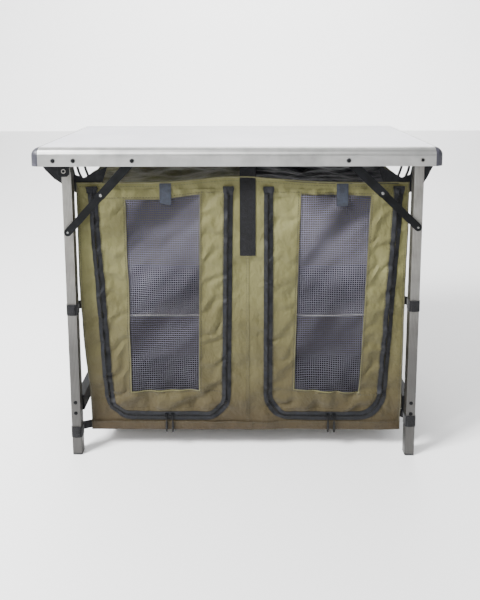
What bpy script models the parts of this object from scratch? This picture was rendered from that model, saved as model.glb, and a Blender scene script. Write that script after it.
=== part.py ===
"""A folding camp kitchen unit: a table top on two folding leg frames, with a double cloth cupboard hung below it.

+X is to the right of someone who faces the doors, -Y is the front and +Z is up. The origin is on the floor, under
the middle of the table top. Everything is in metres.
"""

import math

import bmesh
import bpy
from mathutils import Vector

# Clearance between two pieces that touch
GAP = 0.0003

# The table top
TOP_LENGTH = 1.0
TOP_DEPTH = 0.5
TOP_HEIGHT = 0.81
PANEL_THICKNESS = 0.010

# The aluminium rails round it, with their rounded upper edge
RAIL_HEIGHT = 0.045
RAIL_WIDTH = 0.020
RAIL_WALL = 0.002
LIP_REACH = 0.014
LIP_THICKNESS = 0.0015
CAP_WALL = 0.003
CAP_TOP_ANGLE = math.radians(80)
BULLNOSE_STEPS = 6

# The square leg tubes and what is on them
TUBE_SIZE = 0.025
TUBE_WALL = 0.0012
TUBE_CORNER = 0.003
FOOT_FLANGE = 0.006
PLUG_DEPTH = 0.014
LEG_TOP_RISE = 0.007
LEG_OFFSET = 0.002

# Where the frames turn: each pivot is set in from the table's end. Folded, one frame's tubes lie under the other's
LEFT_PIVOT_INSET = 0.0815
RIGHT_PIVOT_INSET = 0.0525
RIGHT_PIVOT_DROP = 0.030
NEST_GAP = 0.002

# The cross bar that joins each pair of legs
BAR_CENTRE_HEIGHT = 0.131
BAR_HEIGHT = 0.040
BAR_WIDTH = 0.022
BAR_INWARD = 0.003
BAR_WALL = 0.002
BAR_RIVET_SPACING = 0.029

# The two-link braces
LINK_THICKNESS = 0.005
LINK_CLEARANCE = 0.0015
UPPER_LINK_WIDTH = 0.022
LOWER_LINK_WIDTH = 0.019
RAIL_RIVET_DROP = 0.031
LEFT_BRACE_REACH = 0.167
RIGHT_BRACE_REACH = 0.177
LEFT_BRACE_LEG_DROP = 0.212
RIGHT_BRACE_LEG_DROP = 0.1995
LINK_END_STEPS = 8
ELBOW_FOLD_ANGLE = math.radians(10)

# The brackets under the front and back rail, at the left frame
BRACKET_THICKNESS = 0.003
BRACKET_LENGTH = 0.066
BRACKET_PLATE_HEIGHT = 0.022
BRACKET_TONGUE = 0.027
BRACKET_CORNER = 0.0055
BRACKET_RIVET_SPACING = 0.049

# Rivets and pins
RIVET_SHAFT = 0.0025
RIVET_HEAD = 0.0045
RIVET_HEAD_HEIGHT = 0.0009
RIVET_CROWN = 0.5
THIN_HEAD_HEIGHT = 0.0006
PIN_SHAFT = 0.003
PIN_HEAD = 0.0055
SPACER_RADIUS = 0.006
BORE_CLEARANCE = 0.00015
ROUND_STEPS = 12

# The straps that hold the cupboard to the legs
STRAP_THICKNESS = 0.001
STRAP_WIDTH = 0.028
STRAP_TAB_REACH = 0.004
LEFT_MID_STRAP = 0.395
LEFT_LOW_STRAP = 0.064
RIGHT_MID_STRAP = 0.406
RIGHT_LOW_STRAP = 0.096
TAB_SLACK = 0.003
SLING_RISE = 0.0085
SLING_DROP = 0.017

# The hanging cupboard
CLOTH = 0.0015
CUPBOARD_CLEARANCE = 0.0085
CUPBOARD_BOTTOM = 0.052
CUPBOARD_DROP = 0.0965
TOP_RISE = 0.016
TOP_RISE_WIDTH = 0.13
TOP_RISE_CENTRE = 0.010
LEFT_GAP_TOP = 0.0005
LEFT_GAP_BOTTOM = 0.031
RIGHT_GAP_TOP = 0.0005
RIGHT_GAP_BOTTOM = 0.0055
DIVIDER_X = 0.0275
SHELF_HEIGHT = 0.362
SHELF_THICKNESS = 0.004
EDGE_STEPS = 40

# The doors, with their windows and zips
DOOR_BOTTOM = 0.0905
DOOR_TOP_DROP = 0.111
DOOR_CORNER = 0.060
CORNER_STEPS = 12
LEFT_DOOR_OUTER_INSET = 0.040
LEFT_DOOR_INNER_INSET = 0.048
LEFT_DOOR_INNER_LEAN = 0.009
RIGHT_DOOR_OUTER_INSET = 0.0265
RIGHT_DOOR_OUTER_LEAN = 0.026
RIGHT_DOOR_INNER_INSET = 0.0525
HEM_HEIGHT = 0.021
WINDOW_SIDE_INSET = 0.068
WINDOW_TOP_INSET = 0.014
WINDOW_BOTTOM_INSET = 0.068
NET_COLUMNS = 5
NET_ROWS = 13
NET_STRAND = 0.004
NET_THICKNESS = 0.001
ZIP_BAND = 0.0115
ZIP_THICKNESS = 0.0012

# The zips' sliders and pulls
SLIDER_WIDTH = 0.009
SLIDER_DEPTH = 0.003
SLIDER_HEIGHT = 0.012
SLIDER_SPACING = 0.016
SLIDER_TAPER = 0.0018
LEFT_SLIDER_OFFSET = 0.004
RIGHT_SLIDER_OFFSET = 0.018
PULL_WIDTH = 0.006
PULL_THICKNESS = 0.0015
PULL_LENGTH = 0.046
PULL_BULB = 0.0012
PULL_CLEARANCE = 0.0006

# Ribbons on the front
CENTRE_STRAP_WIDTH = 0.040
CENTRE_STRAP_LENGTH = 0.274
TIE_WIDTH = 0.029
TIE_LENGTH = 0.058
LEFT_TIE_OFFSET = 0.0125
RIGHT_TIE_OFFSET = 0.022

# Places that follow from the sizes above
PANEL_EDGE_X = TOP_LENGTH / 2 - RAIL_WIDTH
PANEL_EDGE_Y = TOP_DEPTH / 2 - RAIL_WIDTH
RAIL_BOTTOM = TOP_HEIGHT - RAIL_HEIGHT
RAIL_OUTER_Y = TOP_DEPTH / 2
RAIL_INNER_Y = RAIL_OUTER_Y - RAIL_WALL
LIP_TOP = TOP_HEIGHT - PANEL_THICKNESS - GAP
LIP_BOTTOM = LIP_TOP - LIP_THICKNESS
RIVET_Z = TOP_HEIGHT - RAIL_RIVET_DROP

UPPER_LINK_OUT = RAIL_INNER_Y - LINK_CLEARANCE
UPPER_LINK_IN = UPPER_LINK_OUT - LINK_THICKNESS
LOWER_LINK_OUT = UPPER_LINK_IN - LINK_CLEARANCE
LOWER_LINK_IN = LOWER_LINK_OUT - LINK_THICKNESS
LEG_OUT = LOWER_LINK_IN - LINK_CLEARANCE
LEG_Y = LEG_OUT - TUBE_SIZE / 2
LEG_IN = LEG_OUT - TUBE_SIZE

LEFT_PIVOT_X = LEFT_PIVOT_INSET - TOP_LENGTH / 2
RIGHT_PIVOT_X = TOP_LENGTH / 2 - RIGHT_PIVOT_INSET
RIGHT_PIVOT_Z = TOP_HEIGHT - RIGHT_PIVOT_DROP
LEFT_PIVOT_Z = RIGHT_PIVOT_Z - TUBE_SIZE - NEST_GAP
LEFT_LEG_X = LEFT_PIVOT_X + LEG_OFFSET
RIGHT_LEG_X = RIGHT_PIVOT_X - LEG_OFFSET
LEFT_BRACE_RAIL_X = LEFT_PIVOT_X + LEFT_BRACE_REACH
RIGHT_BRACE_RAIL_X = RIGHT_PIVOT_X - RIGHT_BRACE_REACH

CUPBOARD_FRONT = LEG_IN - CUPBOARD_CLEARANCE
CUPBOARD_TOP = TOP_HEIGHT - CUPBOARD_DROP
DOOR_TOP = TOP_HEIGHT - DOOR_TOP_DROP
LEG_INNER_LEFT = LEFT_LEG_X + TUBE_SIZE / 2
LEG_INNER_RIGHT = RIGHT_LEG_X - TUBE_SIZE / 2
ZIP_FACE = CUPBOARD_FRONT + GAP + ZIP_THICKNESS


class Finish:
    """A piece's plain colour, roughness and metallic value."""

    def __init__(self, colour, roughness, metallic=0.0):
        self.colour = colour
        self.roughness = roughness
        self.metallic = metallic


WHITE_BOARD = Finish((0.80, 0.80, 0.83), 0.35)
ALUMINIUM = Finish((0.62, 0.62, 0.60), 0.35, 1.0)
BLACK_STEEL = Finish((0.020, 0.022, 0.030), 0.40, 0.4)
GREY_PLASTIC = Finish((0.060, 0.060, 0.070), 0.50)
BLACK_PLASTIC = Finish((0.020, 0.020, 0.022), 0.55)
OLIVE_CLOTH = Finish((0.200, 0.190, 0.095), 0.85)
WINDOW_NET = Finish((0.165, 0.155, 0.190), 0.90)
WEBBING = Finish((0.012, 0.012, 0.015), 0.85)
SHELF_BOARD = Finish((0.340, 0.320, 0.330), 0.75)


def clear_scene():
    """Removes whatever the scene holds, so that the script can run again."""
    for item in list(bpy.data.objects):
        bpy.data.objects.remove(item, do_unlink=True)


def material_for(name, finish):
    """A Principled material with the piece's colour, roughness and metallic value."""
    material = bpy.data.materials.new(name)
    material.use_nodes = True
    shader = material.node_tree.nodes["Principled BSDF"]
    shader.inputs["Base Color"].default_value = (*finish.colour, 1.0)
    shader.inputs["Roughness"].default_value = finish.roughness
    shader.inputs["Metallic"].default_value = finish.metallic
    return material


def add_piece(name, shape, finish, origin=(0.0, 0.0, 0.0), parent=None):
    """Turns a bmesh in world coordinates into an object whose own origin is at the point given."""
    bmesh.ops.recalc_face_normals(shape, faces=shape.faces)
    bmesh.ops.translate(shape, verts=shape.verts, vec=-Vector(origin))
    mesh = bpy.data.meshes.new(name)
    shape.to_mesh(mesh)
    shape.free()
    mesh.shade_smooth()
    mesh.set_sharp_from_angle(angle=math.radians(35))
    piece = bpy.data.objects.new(name, mesh)
    piece.data.materials.append(material_for(name, finish))
    bpy.context.scene.collection.objects.link(piece)
    piece.location = origin
    if parent:
        piece.parent = parent
        piece.location = Vector(origin) - parent.location
    return piece


def add_axis(name, place):
    """An empty on a joint's axis, which carries the pieces that turn there."""
    axis = bpy.data.objects.new(name, None)
    bpy.context.scene.collection.objects.link(axis)
    axis.location = place
    return axis


def combine(piece, other_shape, operation):
    """Joins another shape to a piece, or cuts it away, with a Boolean that stays on the piece."""
    number = len(piece.modifiers)
    tool = add_piece(f"{piece.name}_{operation.lower()}_{number}", other_shape, BLACK_PLASTIC)
    tool.hide_render = True
    tool.display_type = "WIRE"
    boolean = piece.modifiers.new(f"{operation.lower()}_{number}", "BOOLEAN")
    boolean.operation = operation
    boolean.solver = "EXACT"
    boolean.object = tool


def place(axis, across, up, along):
    """A point from its place across an axis and along it."""
    if axis == "X":
        return (along, across, up)
    if axis == "Y":
        return (across, along, up)
    return (across, up, along)


def stack(shape, rings):
    """A closed solid through rings of points, one above the other, with its two ends filled."""
    rows = [[shape.verts.new(point) for point in ring] for ring in rings]
    for low, high in zip(rows, rows[1:]):
        for k in range(len(low)):
            m = (k + 1) % len(low)
            shape.faces.new((low[k], low[m], high[m], high[k]))
    shape.faces.new(rows[0])
    shape.faces.new(rows[-1])


def prism(shape, outline, axis, low, high):
    """A flat outline, extruded along an axis."""
    stack(shape, [[place(axis, u, v, along) for u, v in outline] for along in (low, high)])


def ring_prism(shape, outline, hole, axis, low, high):
    """An outline with a hole of as many corners, extruded along an axis."""
    ends = []
    for along in (low, high):
        loops = [[shape.verts.new(place(axis, u, v, along)) for u, v in loop] for loop in (outline, hole)]
        ends.append(loops)
    count = len(outline)
    for k in range(count):
        m = (k + 1) % count
        for first, second in zip(*ends):
            shape.faces.new((first[k], first[m], second[m], second[k]))
        for outer, inner in ends:
            shape.faces.new((outer[k], outer[m], inner[m], inner[k]))


def box(shape, low, high):
    """A block between two opposite corners."""
    outline = [(low[0], low[1]), (high[0], low[1]), (high[0], high[1]), (low[0], high[1])]
    prism(shape, outline, "Z", low[2], high[2])


def circle(axis, across, up, radius, along):
    """The points of a circle round an axis."""
    turns = [2 * math.pi * (k + 0.5) / ROUND_STEPS for k in range(ROUND_STEPS)]
    return [place(axis, across + radius * math.cos(t), up + radius * math.sin(t), along) for t in turns]


def turned(shape, across, up, profile, side):
    """A solid turned about a line along Y. The profile gives a radius and a distance from the middle plane."""
    stack(shape, [circle("Y", across, up, radius, side * away) for radius, away in profile])


def square_section(x, y, half, corner):
    """The outline of a square tube's section, each of its corners rounded in three points."""
    points = []
    for quarter in range(4):
        for step in range(3):
            turn = math.radians(90 * quarter + 45 * step)
            middle = math.radians(90 * quarter + 45)
            u = math.copysign(half - corner, math.cos(middle)) + corner * math.cos(turn)
            v = math.copysign(half - corner, math.sin(middle)) + corner * math.sin(turn)
            points.append((x + u, y + v))
    return points


def head_profile(radius, seat, shaft):
    """The section of a domed head that lies on a face, down to the start of its shaft."""
    return [
        (radius * RIVET_CROWN, seat + RIVET_HEAD_HEIGHT),
        (radius, seat + RIVET_HEAD_HEIGHT * RIVET_CROWN),
        (radius, seat),
        (shaft, seat),
    ]


def rivet(shape, x, z, face, inner, side):
    """A rivet whose head lies on a face and whose shaft runs in from it."""
    profile = head_profile(RIVET_HEAD, face + GAP, RIVET_SHAFT) + [(RIVET_SHAFT, inner)]
    turned(shape, x, z, profile, side)


def drill(piece, bores, low, high):
    """Cuts round bores along Y through one side of a piece. A bore is its place across, its height and its radius."""
    cutter = bmesh.new()
    for x, z, radius in bores:
        stack(cutter, [circle("Y", x, z, radius + BORE_CLEARANCE, along) for along in (low, high)])
    combine(piece, cutter, "DIFFERENCE")


def bullnose(centre, middle_z, radius, first, last):
    """Points on the rounded edge, from one angle above the horizontal to another."""
    steps = [first + (last - first) * k / BULLNOSE_STEPS for k in range(BULLNOSE_STEPS + 1)]
    return [(centre + radius * math.cos(a), middle_z + radius * math.sin(a)) for a in steps]


def rail_profile(edge, with_lip):
    """A rail's section, as distances out from the table's middle and heights. Its lip carries the panel."""
    middle_z = TOP_HEIGHT - RAIL_WIDTH
    inner_radius = RAIL_WIDTH - RAIL_WALL
    points = bullnose(edge, middle_z, RAIL_WIDTH, math.pi / 2, 0)
    points += [(edge + RAIL_WIDTH, RAIL_BOTTOM), (edge + inner_radius, RAIL_BOTTOM)]
    points += bullnose(edge, middle_z, inner_radius, 0, math.acos(RAIL_WALL / inner_radius))
    points.append((edge + RAIL_WALL, LIP_BOTTOM))
    if with_lip:
        points += [(edge - LIP_REACH, LIP_BOTTOM), (edge - LIP_REACH, LIP_TOP), (edge, LIP_TOP)]
    else:
        points.append((edge, LIP_BOTTOM))
    return points


def make_rails():
    """Four rails: the long ones carry the panel on a lip. They are drilled for the brackets' rivets and the right
    frame's pins, and each has the two rivets on which the braces turn."""
    profile = rail_profile(PANEL_EDGE_Y, True)
    bores = [(x, RIVET_Z, RIVET_SHAFT) for x in bracket_rivet_places()]
    bores.append((RIGHT_PIVOT_X, RIGHT_PIVOT_Z, PIN_SHAFT))
    for name, side in (("front_rail", -1), ("back_rail", 1)):
        shape = bmesh.new()
        prism(shape, [(side * away, z) for away, z in profile], "X", -PANEL_EDGE_X, PANEL_EDGE_X)
        rail = add_piece(name, shape, ALUMINIUM)
        drill(rail, bores, side * (RAIL_INNER_Y - RAIL_WALL), side * (RAIL_OUTER_Y + RAIL_WALL))
        rivets = bmesh.new()
        for x in (LEFT_BRACE_RAIL_X, RIGHT_BRACE_RAIL_X):
            rivet(rivets, x, RIVET_Z, RAIL_OUTER_Y - GAP * 2, UPPER_LINK_IN, side)
        combine(rail, rivets, "UNION")
    profile = rail_profile(PANEL_EDGE_X, False)
    for name, side in (("left_end_rail", -1), ("right_end_rail", 1)):
        shape = bmesh.new()
        stack(shape, [[(side * away, y, z) for away, z in profile] for y in (-PANEL_EDGE_Y, PANEL_EDGE_Y)])
        add_piece(name, shape, ALUMINIUM)


def bracket_rivet_places():
    """Where the left frame's bracket is riveted to the rail."""
    return [LEFT_PIVOT_X - BRACKET_RIVET_SPACING / 2, LEFT_PIVOT_X + BRACKET_RIVET_SPACING / 2]


def make_corner_caps():
    """A hollow plastic cap on each corner, turned from the rails' outer shape."""
    for end, side_x in (("left", -1), ("right", 1)):
        for face, side_y in (("front", -1), ("back", 1)):
            shape = bmesh.new()
            turn_cap(shape, side_x, side_y)
            add_piece(f"{end}_{face}_cap", shape, GREY_PLASTIC)


def turn_cap(shape, side_x, side_y):
    """A quarter turn of the cap's section round the corner's upright axis."""
    radius = RAIL_WIDTH - GAP
    middle_z = TOP_HEIGHT - RAIL_WIDTH
    rim = bullnose(0, middle_z, radius, CAP_TOP_ANGLE, 0)
    rim += [(radius, RAIL_BOTTOM), (radius - CAP_WALL, RAIL_BOTTOM), (radius - CAP_WALL, middle_z)]
    centre = (side_x * (PANEL_EDGE_X + GAP), side_y * (PANEL_EDGE_Y + GAP))
    top = shape.verts.new((*centre, middle_z + radius))
    floor = shape.verts.new((*centre, middle_z))
    fans = []
    for k in range(BULLNOSE_STEPS + 1):
        turn = math.pi / 2 * k / BULLNOSE_STEPS
        out_x = side_x * math.cos(turn)
        out_y = side_y * math.sin(turn)
        fans.append([shape.verts.new((centre[0] + r * out_x, centre[1] + r * out_y, z)) for r, z in rim])
    for first, second in zip(fans, fans[1:]):
        shape.faces.new((top, first[0], second[0]))
        for k in range(len(rim) - 1):
            shape.faces.new((first[k], first[k + 1], second[k + 1], second[k]))
        shape.faces.new((first[-1], floor, second[-1]))
    for fan in (fans[0], fans[-1]):
        shape.faces.new([top, *fan, floor])


def make_table_top():
    """The white panel, which lies on the long rails' lips."""
    shape = bmesh.new()
    reach_x = PANEL_EDGE_X - GAP
    reach_y = PANEL_EDGE_Y - GAP
    box(shape, (-reach_x, -reach_y, TOP_HEIGHT - PANEL_THICKNESS), (reach_x, reach_y, TOP_HEIGHT))
    add_piece("tabletop_panel", shape, WHITE_BOARD)


def make_brackets():
    """A plate behind each long rail, with its two rivets and a tongue that reaches down to the left frame's pivot."""
    plate = BRACKET_LENGTH / 2
    tongue = BRACKET_TONGUE / 2
    plate_top = RIVET_Z + BRACKET_PLATE_HEIGHT / 2
    plate_bottom = RIVET_Z - BRACKET_PLATE_HEIGHT / 2
    tip = LEFT_PIVOT_Z - tongue
    half = [(plate, plate_top), (plate, plate_bottom), (tongue, plate_bottom), (tongue, tip + BRACKET_CORNER)]
    half.append((tongue - BRACKET_CORNER, tip))
    outline = [(LEFT_PIVOT_X + u, z) for u, z in half]
    outline += [(LEFT_PIVOT_X - u, z) for u, z in reversed(half)]
    outer = RAIL_INNER_Y - GAP
    inner = outer - BRACKET_THICKNESS
    for name, side in (("front", -1), ("back", 1)):
        shape = bmesh.new()
        prism(shape, outline, "Y", side * inner, side * outer)
        bracket = add_piece(f"{name}_bracket", shape, BLACK_STEEL)
        past = BRACKET_THICKNESS
        drill(bracket, [(LEFT_PIVOT_X, LEFT_PIVOT_Z, PIN_SHAFT)], side * (inner - past), side * (outer + past))
        rivets = bmesh.new()
        for x in bracket_rivet_places():
            rivet(rivets, x, RIVET_Z, RAIL_OUTER_Y, outer - BRACKET_THICKNESS / 2, side)
        combine(bracket, rivets, "UNION")


class Frame:
    """One folding leg frame: its name, its pivot, its tubes' middle and the way that faces the other frame."""

    def __init__(self, name, pivot_x, pivot_z, leg_x, inward):
        self.name = name
        self.pivot_x = pivot_x
        self.pivot_z = pivot_z
        self.leg_x = leg_x
        self.inward = inward
        self.axis = add_axis(f"{name}_frame_axis", (pivot_x, 0.0, pivot_z))

    def add(self, name, shape, finish):
        return add_piece(f"{self.name}_{name}", shape, finish, self.axis.location, self.axis)


def make_legs(frame, pin_outer, head_face):
    """The front and back tube of a frame, each with its pivot pin, and drilled for the cross bar's rivets."""
    top = frame.pivot_z + LEG_TOP_RISE
    inner_half = TUBE_SIZE / 2 - TUBE_WALL
    for name, side in (("front_leg", -1), ("back_leg", 1)):
        middle = side * LEG_Y
        outer = square_section(frame.leg_x, middle, TUBE_SIZE / 2, TUBE_CORNER)
        inner = square_section(frame.leg_x, middle, inner_half, TUBE_CORNER - TUBE_WALL)
        shape = bmesh.new()
        ring_prism(shape, outer, inner, "Z", FOOT_FLANGE, top)
        leg = frame.add(name, shape, ALUMINIUM)
        pin = bmesh.new()
        turned(pin, frame.pivot_x, frame.pivot_z, pin_profile(pin_outer, head_face), side)
        combine(leg, pin, "UNION")
        bores = [(frame.leg_x, z, RIVET_SHAFT) for z in bar_rivet_heights()]
        drill(leg, bores, side * (LEG_IN - TUBE_WALL), side * (LEG_OUT + TUBE_WALL))


def pin_profile(pin_outer, head_face):
    """A pivot pin's section: a head on the bracket or the rail, a spacer, and a shaft through the tube."""
    return head_profile(PIN_HEAD, head_face + GAP, PIN_SHAFT) + [
        (PIN_SHAFT, pin_outer - GAP),
        (SPACER_RADIUS, pin_outer - GAP),
        (SPACER_RADIUS, LEG_OUT - TUBE_WALL / 2),
        (PIN_SHAFT, LEG_OUT - TUBE_WALL / 2),
        (PIN_SHAFT, LEG_IN + TUBE_WALL / 2),
        (PIN_HEAD, LEG_IN + TUBE_WALL / 2),
        (PIN_HEAD, LEG_IN - RIVET_HEAD_HEIGHT),
    ]


def bar_rivet_heights():
    """The heights of the two rivets that hold a cross bar's end."""
    return [BAR_CENTRE_HEIGHT - BAR_RIVET_SPACING / 2, BAR_CENTRE_HEIGHT + BAR_RIVET_SPACING / 2]


def make_feet(frame):
    """A plastic foot in the lower end of each tube."""
    outer = TUBE_SIZE / 2
    inner = outer - TUBE_WALL - GAP
    corner = TUBE_CORNER - TUBE_WALL - GAP
    chamfer = TUBE_CORNER / 2
    seat = FOOT_FLANGE - GAP
    levels = [
        (outer - chamfer, TUBE_CORNER, 0),
        (outer, TUBE_CORNER, chamfer),
        (outer, TUBE_CORNER, seat),
        (inner, corner, seat),
        (inner, corner, seat + PLUG_DEPTH),
    ]
    for name, side in (("front_foot", -1), ("back_foot", 1)):
        shape = bmesh.new()
        rings = []
        for half, rounding, z in levels:
            rings.append([(x, y, z) for x, y in square_section(frame.leg_x, side * LEG_Y, half, rounding)])
        stack(shape, rings)
        frame.add(name, shape, BLACK_PLASTIC)


def make_cross_bar(frame):
    """A channel between the two tubes, open towards the outside, with closed ends and a pair of rivets through each
    tube."""
    reach = LEG_IN - GAP
    low = BAR_CENTRE_HEIGHT - BAR_HEIGHT / 2
    high = BAR_CENTRE_HEIGHT + BAR_HEIGHT / 2
    inner_x = frame.leg_x + frame.inward * (TUBE_SIZE / 2 + BAR_INWARD)
    outer_x = inner_x - frame.inward * BAR_WIDTH
    web_x = inner_x - frame.inward * BAR_WALL
    shape = bmesh.new()
    box(shape, (min(inner_x, outer_x), -reach, low), (max(inner_x, outer_x), reach, high))
    bar = frame.add("cross_bar", shape, BLACK_STEEL)
    pocket = bmesh.new()
    past = outer_x - frame.inward * BAR_WALL
    inside = reach - BAR_WALL
    box(
        pocket,
        (min(web_x, past), -inside, low + BAR_WALL),
        (max(web_x, past), inside, high - BAR_WALL),
    )
    combine(bar, pocket, "DIFFERENCE")
    rivets = bmesh.new()
    for side in (-1, 1):
        for z in bar_rivet_heights():
            rivet(rivets, frame.leg_x, z, LEG_OUT, reach - BAR_WALL / 2, side)
    combine(bar, rivets, "UNION")


def make_strap_bands(frame, heights):
    """The bands that close round each leg, at two heights."""
    inner_half = TUBE_SIZE / 2 + GAP
    outer_half = inner_half + STRAP_THICKNESS
    for face, side in (("front", -1), ("back", 1)):
        inner = square_section(frame.leg_x, side * LEG_Y, inner_half, TUBE_CORNER)
        outer = square_section(frame.leg_x, side * LEG_Y, outer_half, TUBE_CORNER)
        for level, z in heights.items():
            shape = bmesh.new()
            ring_prism(shape, outer, inner, "Z", z - STRAP_WIDTH / 2, z + STRAP_WIDTH / 2)
            frame.add(f"{face}_{level}_band", shape, WEBBING)


class Brace:
    """Where one frame's braces turn: on the rail, at the elbow and on the leg.

    At rest the two links lie in one line. Their lengths make the elbow lie a little below the rail once the frame
    is folded, with the lower link's end again at its place on the leg.
    """

    def __init__(self, frame, rail_x, leg_drop):
        self.frame = frame
        self.rail = Vector((rail_x, RIVET_Z))
        self.leg = Vector((frame.leg_x, TOP_HEIGHT - leg_drop))
        arm = self.leg - Vector((frame.pivot_x, frame.pivot_z))
        turned_arm = Vector((-arm.y, frame.inward * arm.x)) if frame.inward > 0 else Vector((arm.y, -arm.x))
        folded_leg = Vector((frame.pivot_x, frame.pivot_z)) + turned_arm
        span = (self.leg - self.rail).length
        apart = self.rail - folded_leg
        lie = Vector((frame.inward * math.cos(ELBOW_FOLD_ANGLE), -math.sin(ELBOW_FOLD_ANGLE)))
        self.upper_length = (span**2 - apart.length_squared) / (2 * (span + lie.dot(apart)))
        self.elbow = self.rail + (self.leg - self.rail).normalized() * self.upper_length


def link_outline(start, end, width, square_side):
    """A strip with a round end at each pivot. On one side, its far end keeps a square stop."""
    along = (end - start).normalized()
    across = Vector((-along.y, along.x))
    half = width / 2

    def round_end(middle, first):
        turns = [first + math.pi * k / LINK_END_STEPS for k in range(LINK_END_STEPS + 1)]
        return [middle + half * (math.cos(turn) * along + math.sin(turn) * across) for turn in turns]

    far = round_end(end, -math.pi / 2)
    quarter = LINK_END_STEPS // 2
    if square_side > 0:
        far[quarter + 1 : -1] = [end + half * (along + across)]
    elif square_side < 0:
        far[1:quarter] = [end + half * (along - across)]
    return [tuple(point) for point in round_end(start, math.pi / 2) + far]


def make_brace(brace, name, side):
    """One brace's two links: the upper one holds the elbow's rivet, the lower one a stud that points at the leg."""
    inward = brace.frame.inward
    rail_axis = add_axis(f"{name}_rail_axis", (brace.rail.x, side * UPPER_LINK_OUT, brace.rail.y))
    elbow_axis = add_axis(f"{name}_elbow_axis", (brace.elbow.x, side * UPPER_LINK_OUT, brace.elbow.y))
    shape = bmesh.new()
    outline = link_outline(brace.rail, brace.elbow, UPPER_LINK_WIDTH, -inward)
    prism(shape, outline, "Y", side * UPPER_LINK_IN, side * UPPER_LINK_OUT)
    upper = add_piece(f"{name}_upper_link", shape, BLACK_STEEL, rail_axis.location, rail_axis)
    past = LINK_CLEARANCE
    drill(upper, [(*brace.rail, RIVET_SHAFT)], side * (UPPER_LINK_IN - past), side * (UPPER_LINK_OUT + past))
    rivet_shape = bmesh.new()
    back = LOWER_LINK_IN - GAP
    profile = head_profile(RIVET_HEAD, UPPER_LINK_OUT - GAP, RIVET_SHAFT) + [
        (RIVET_SHAFT, back),
        (RIVET_HEAD, back),
        (RIVET_HEAD, back - THIN_HEAD_HEIGHT),
    ]
    turned(rivet_shape, brace.elbow.x, brace.elbow.y, profile, side)
    combine(upper, rivet_shape, "UNION")

    shape = bmesh.new()
    outline = link_outline(brace.elbow, brace.leg, LOWER_LINK_WIDTH, 0)
    prism(shape, outline, "Y", side * LOWER_LINK_IN, side * LOWER_LINK_OUT)
    lower = add_piece(f"{name}_lower_link", shape, BLACK_STEEL, elbow_axis.location, elbow_axis)
    drill(
        lower,
        [(*brace.elbow, RIVET_SHAFT)],
        side * (LOWER_LINK_IN - LINK_CLEARANCE),
        side * (LOWER_LINK_OUT + LINK_CLEARANCE),
    )
    stud = bmesh.new()
    profile = [
        (RIVET_HEAD, LOWER_LINK_OUT + THIN_HEAD_HEIGHT),
        (RIVET_HEAD, LEG_OUT + GAP),
    ]
    turned(stud, brace.leg.x, brace.leg.y, profile, side)
    combine(lower, stud, "UNION")


def make_frame(frame, strap_heights, brace, pin_outer, head_face):
    """A whole leg frame with its four brace links."""
    make_legs(frame, pin_outer, head_face)
    make_feet(frame)
    make_cross_bar(frame)
    make_strap_bands(frame, strap_heights)
    make_brace(brace, f"{frame.name}_front", -1)
    make_brace(brace, f"{frame.name}_back", 1)


def between(low, high, z):
    """The value on a straight line from the cupboard's bottom to its top."""
    return low + (high - low) * (z - CUPBOARD_BOTTOM) / (CUPBOARD_TOP - CUPBOARD_BOTTOM)


def left_wall_x(z):
    """The left wall's outer face, which draws in towards the bottom."""
    return LEG_INNER_LEFT + between(LEFT_GAP_BOTTOM, LEFT_GAP_TOP, z)


def right_wall_x(z):
    """The right wall's outer face."""
    return LEG_INNER_RIGHT - between(RIGHT_GAP_BOTTOM, RIGHT_GAP_TOP, z)


def top_edge(x):
    """The cupboard's upper edge, which the centre strap pulls up in the middle."""
    return CUPBOARD_TOP + TOP_RISE * math.exp(-(((x - TOP_RISE_CENTRE) / TOP_RISE_WIDTH) ** 2))


def top_points(first, last, drop):
    """Points along the cupboard's upper edge, or a little below it."""
    xs = [first + (last - first) * k / EDGE_STEPS for k in range(EDGE_STEPS + 1)]
    return [(x, top_edge(x) - drop) for x in xs]


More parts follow.
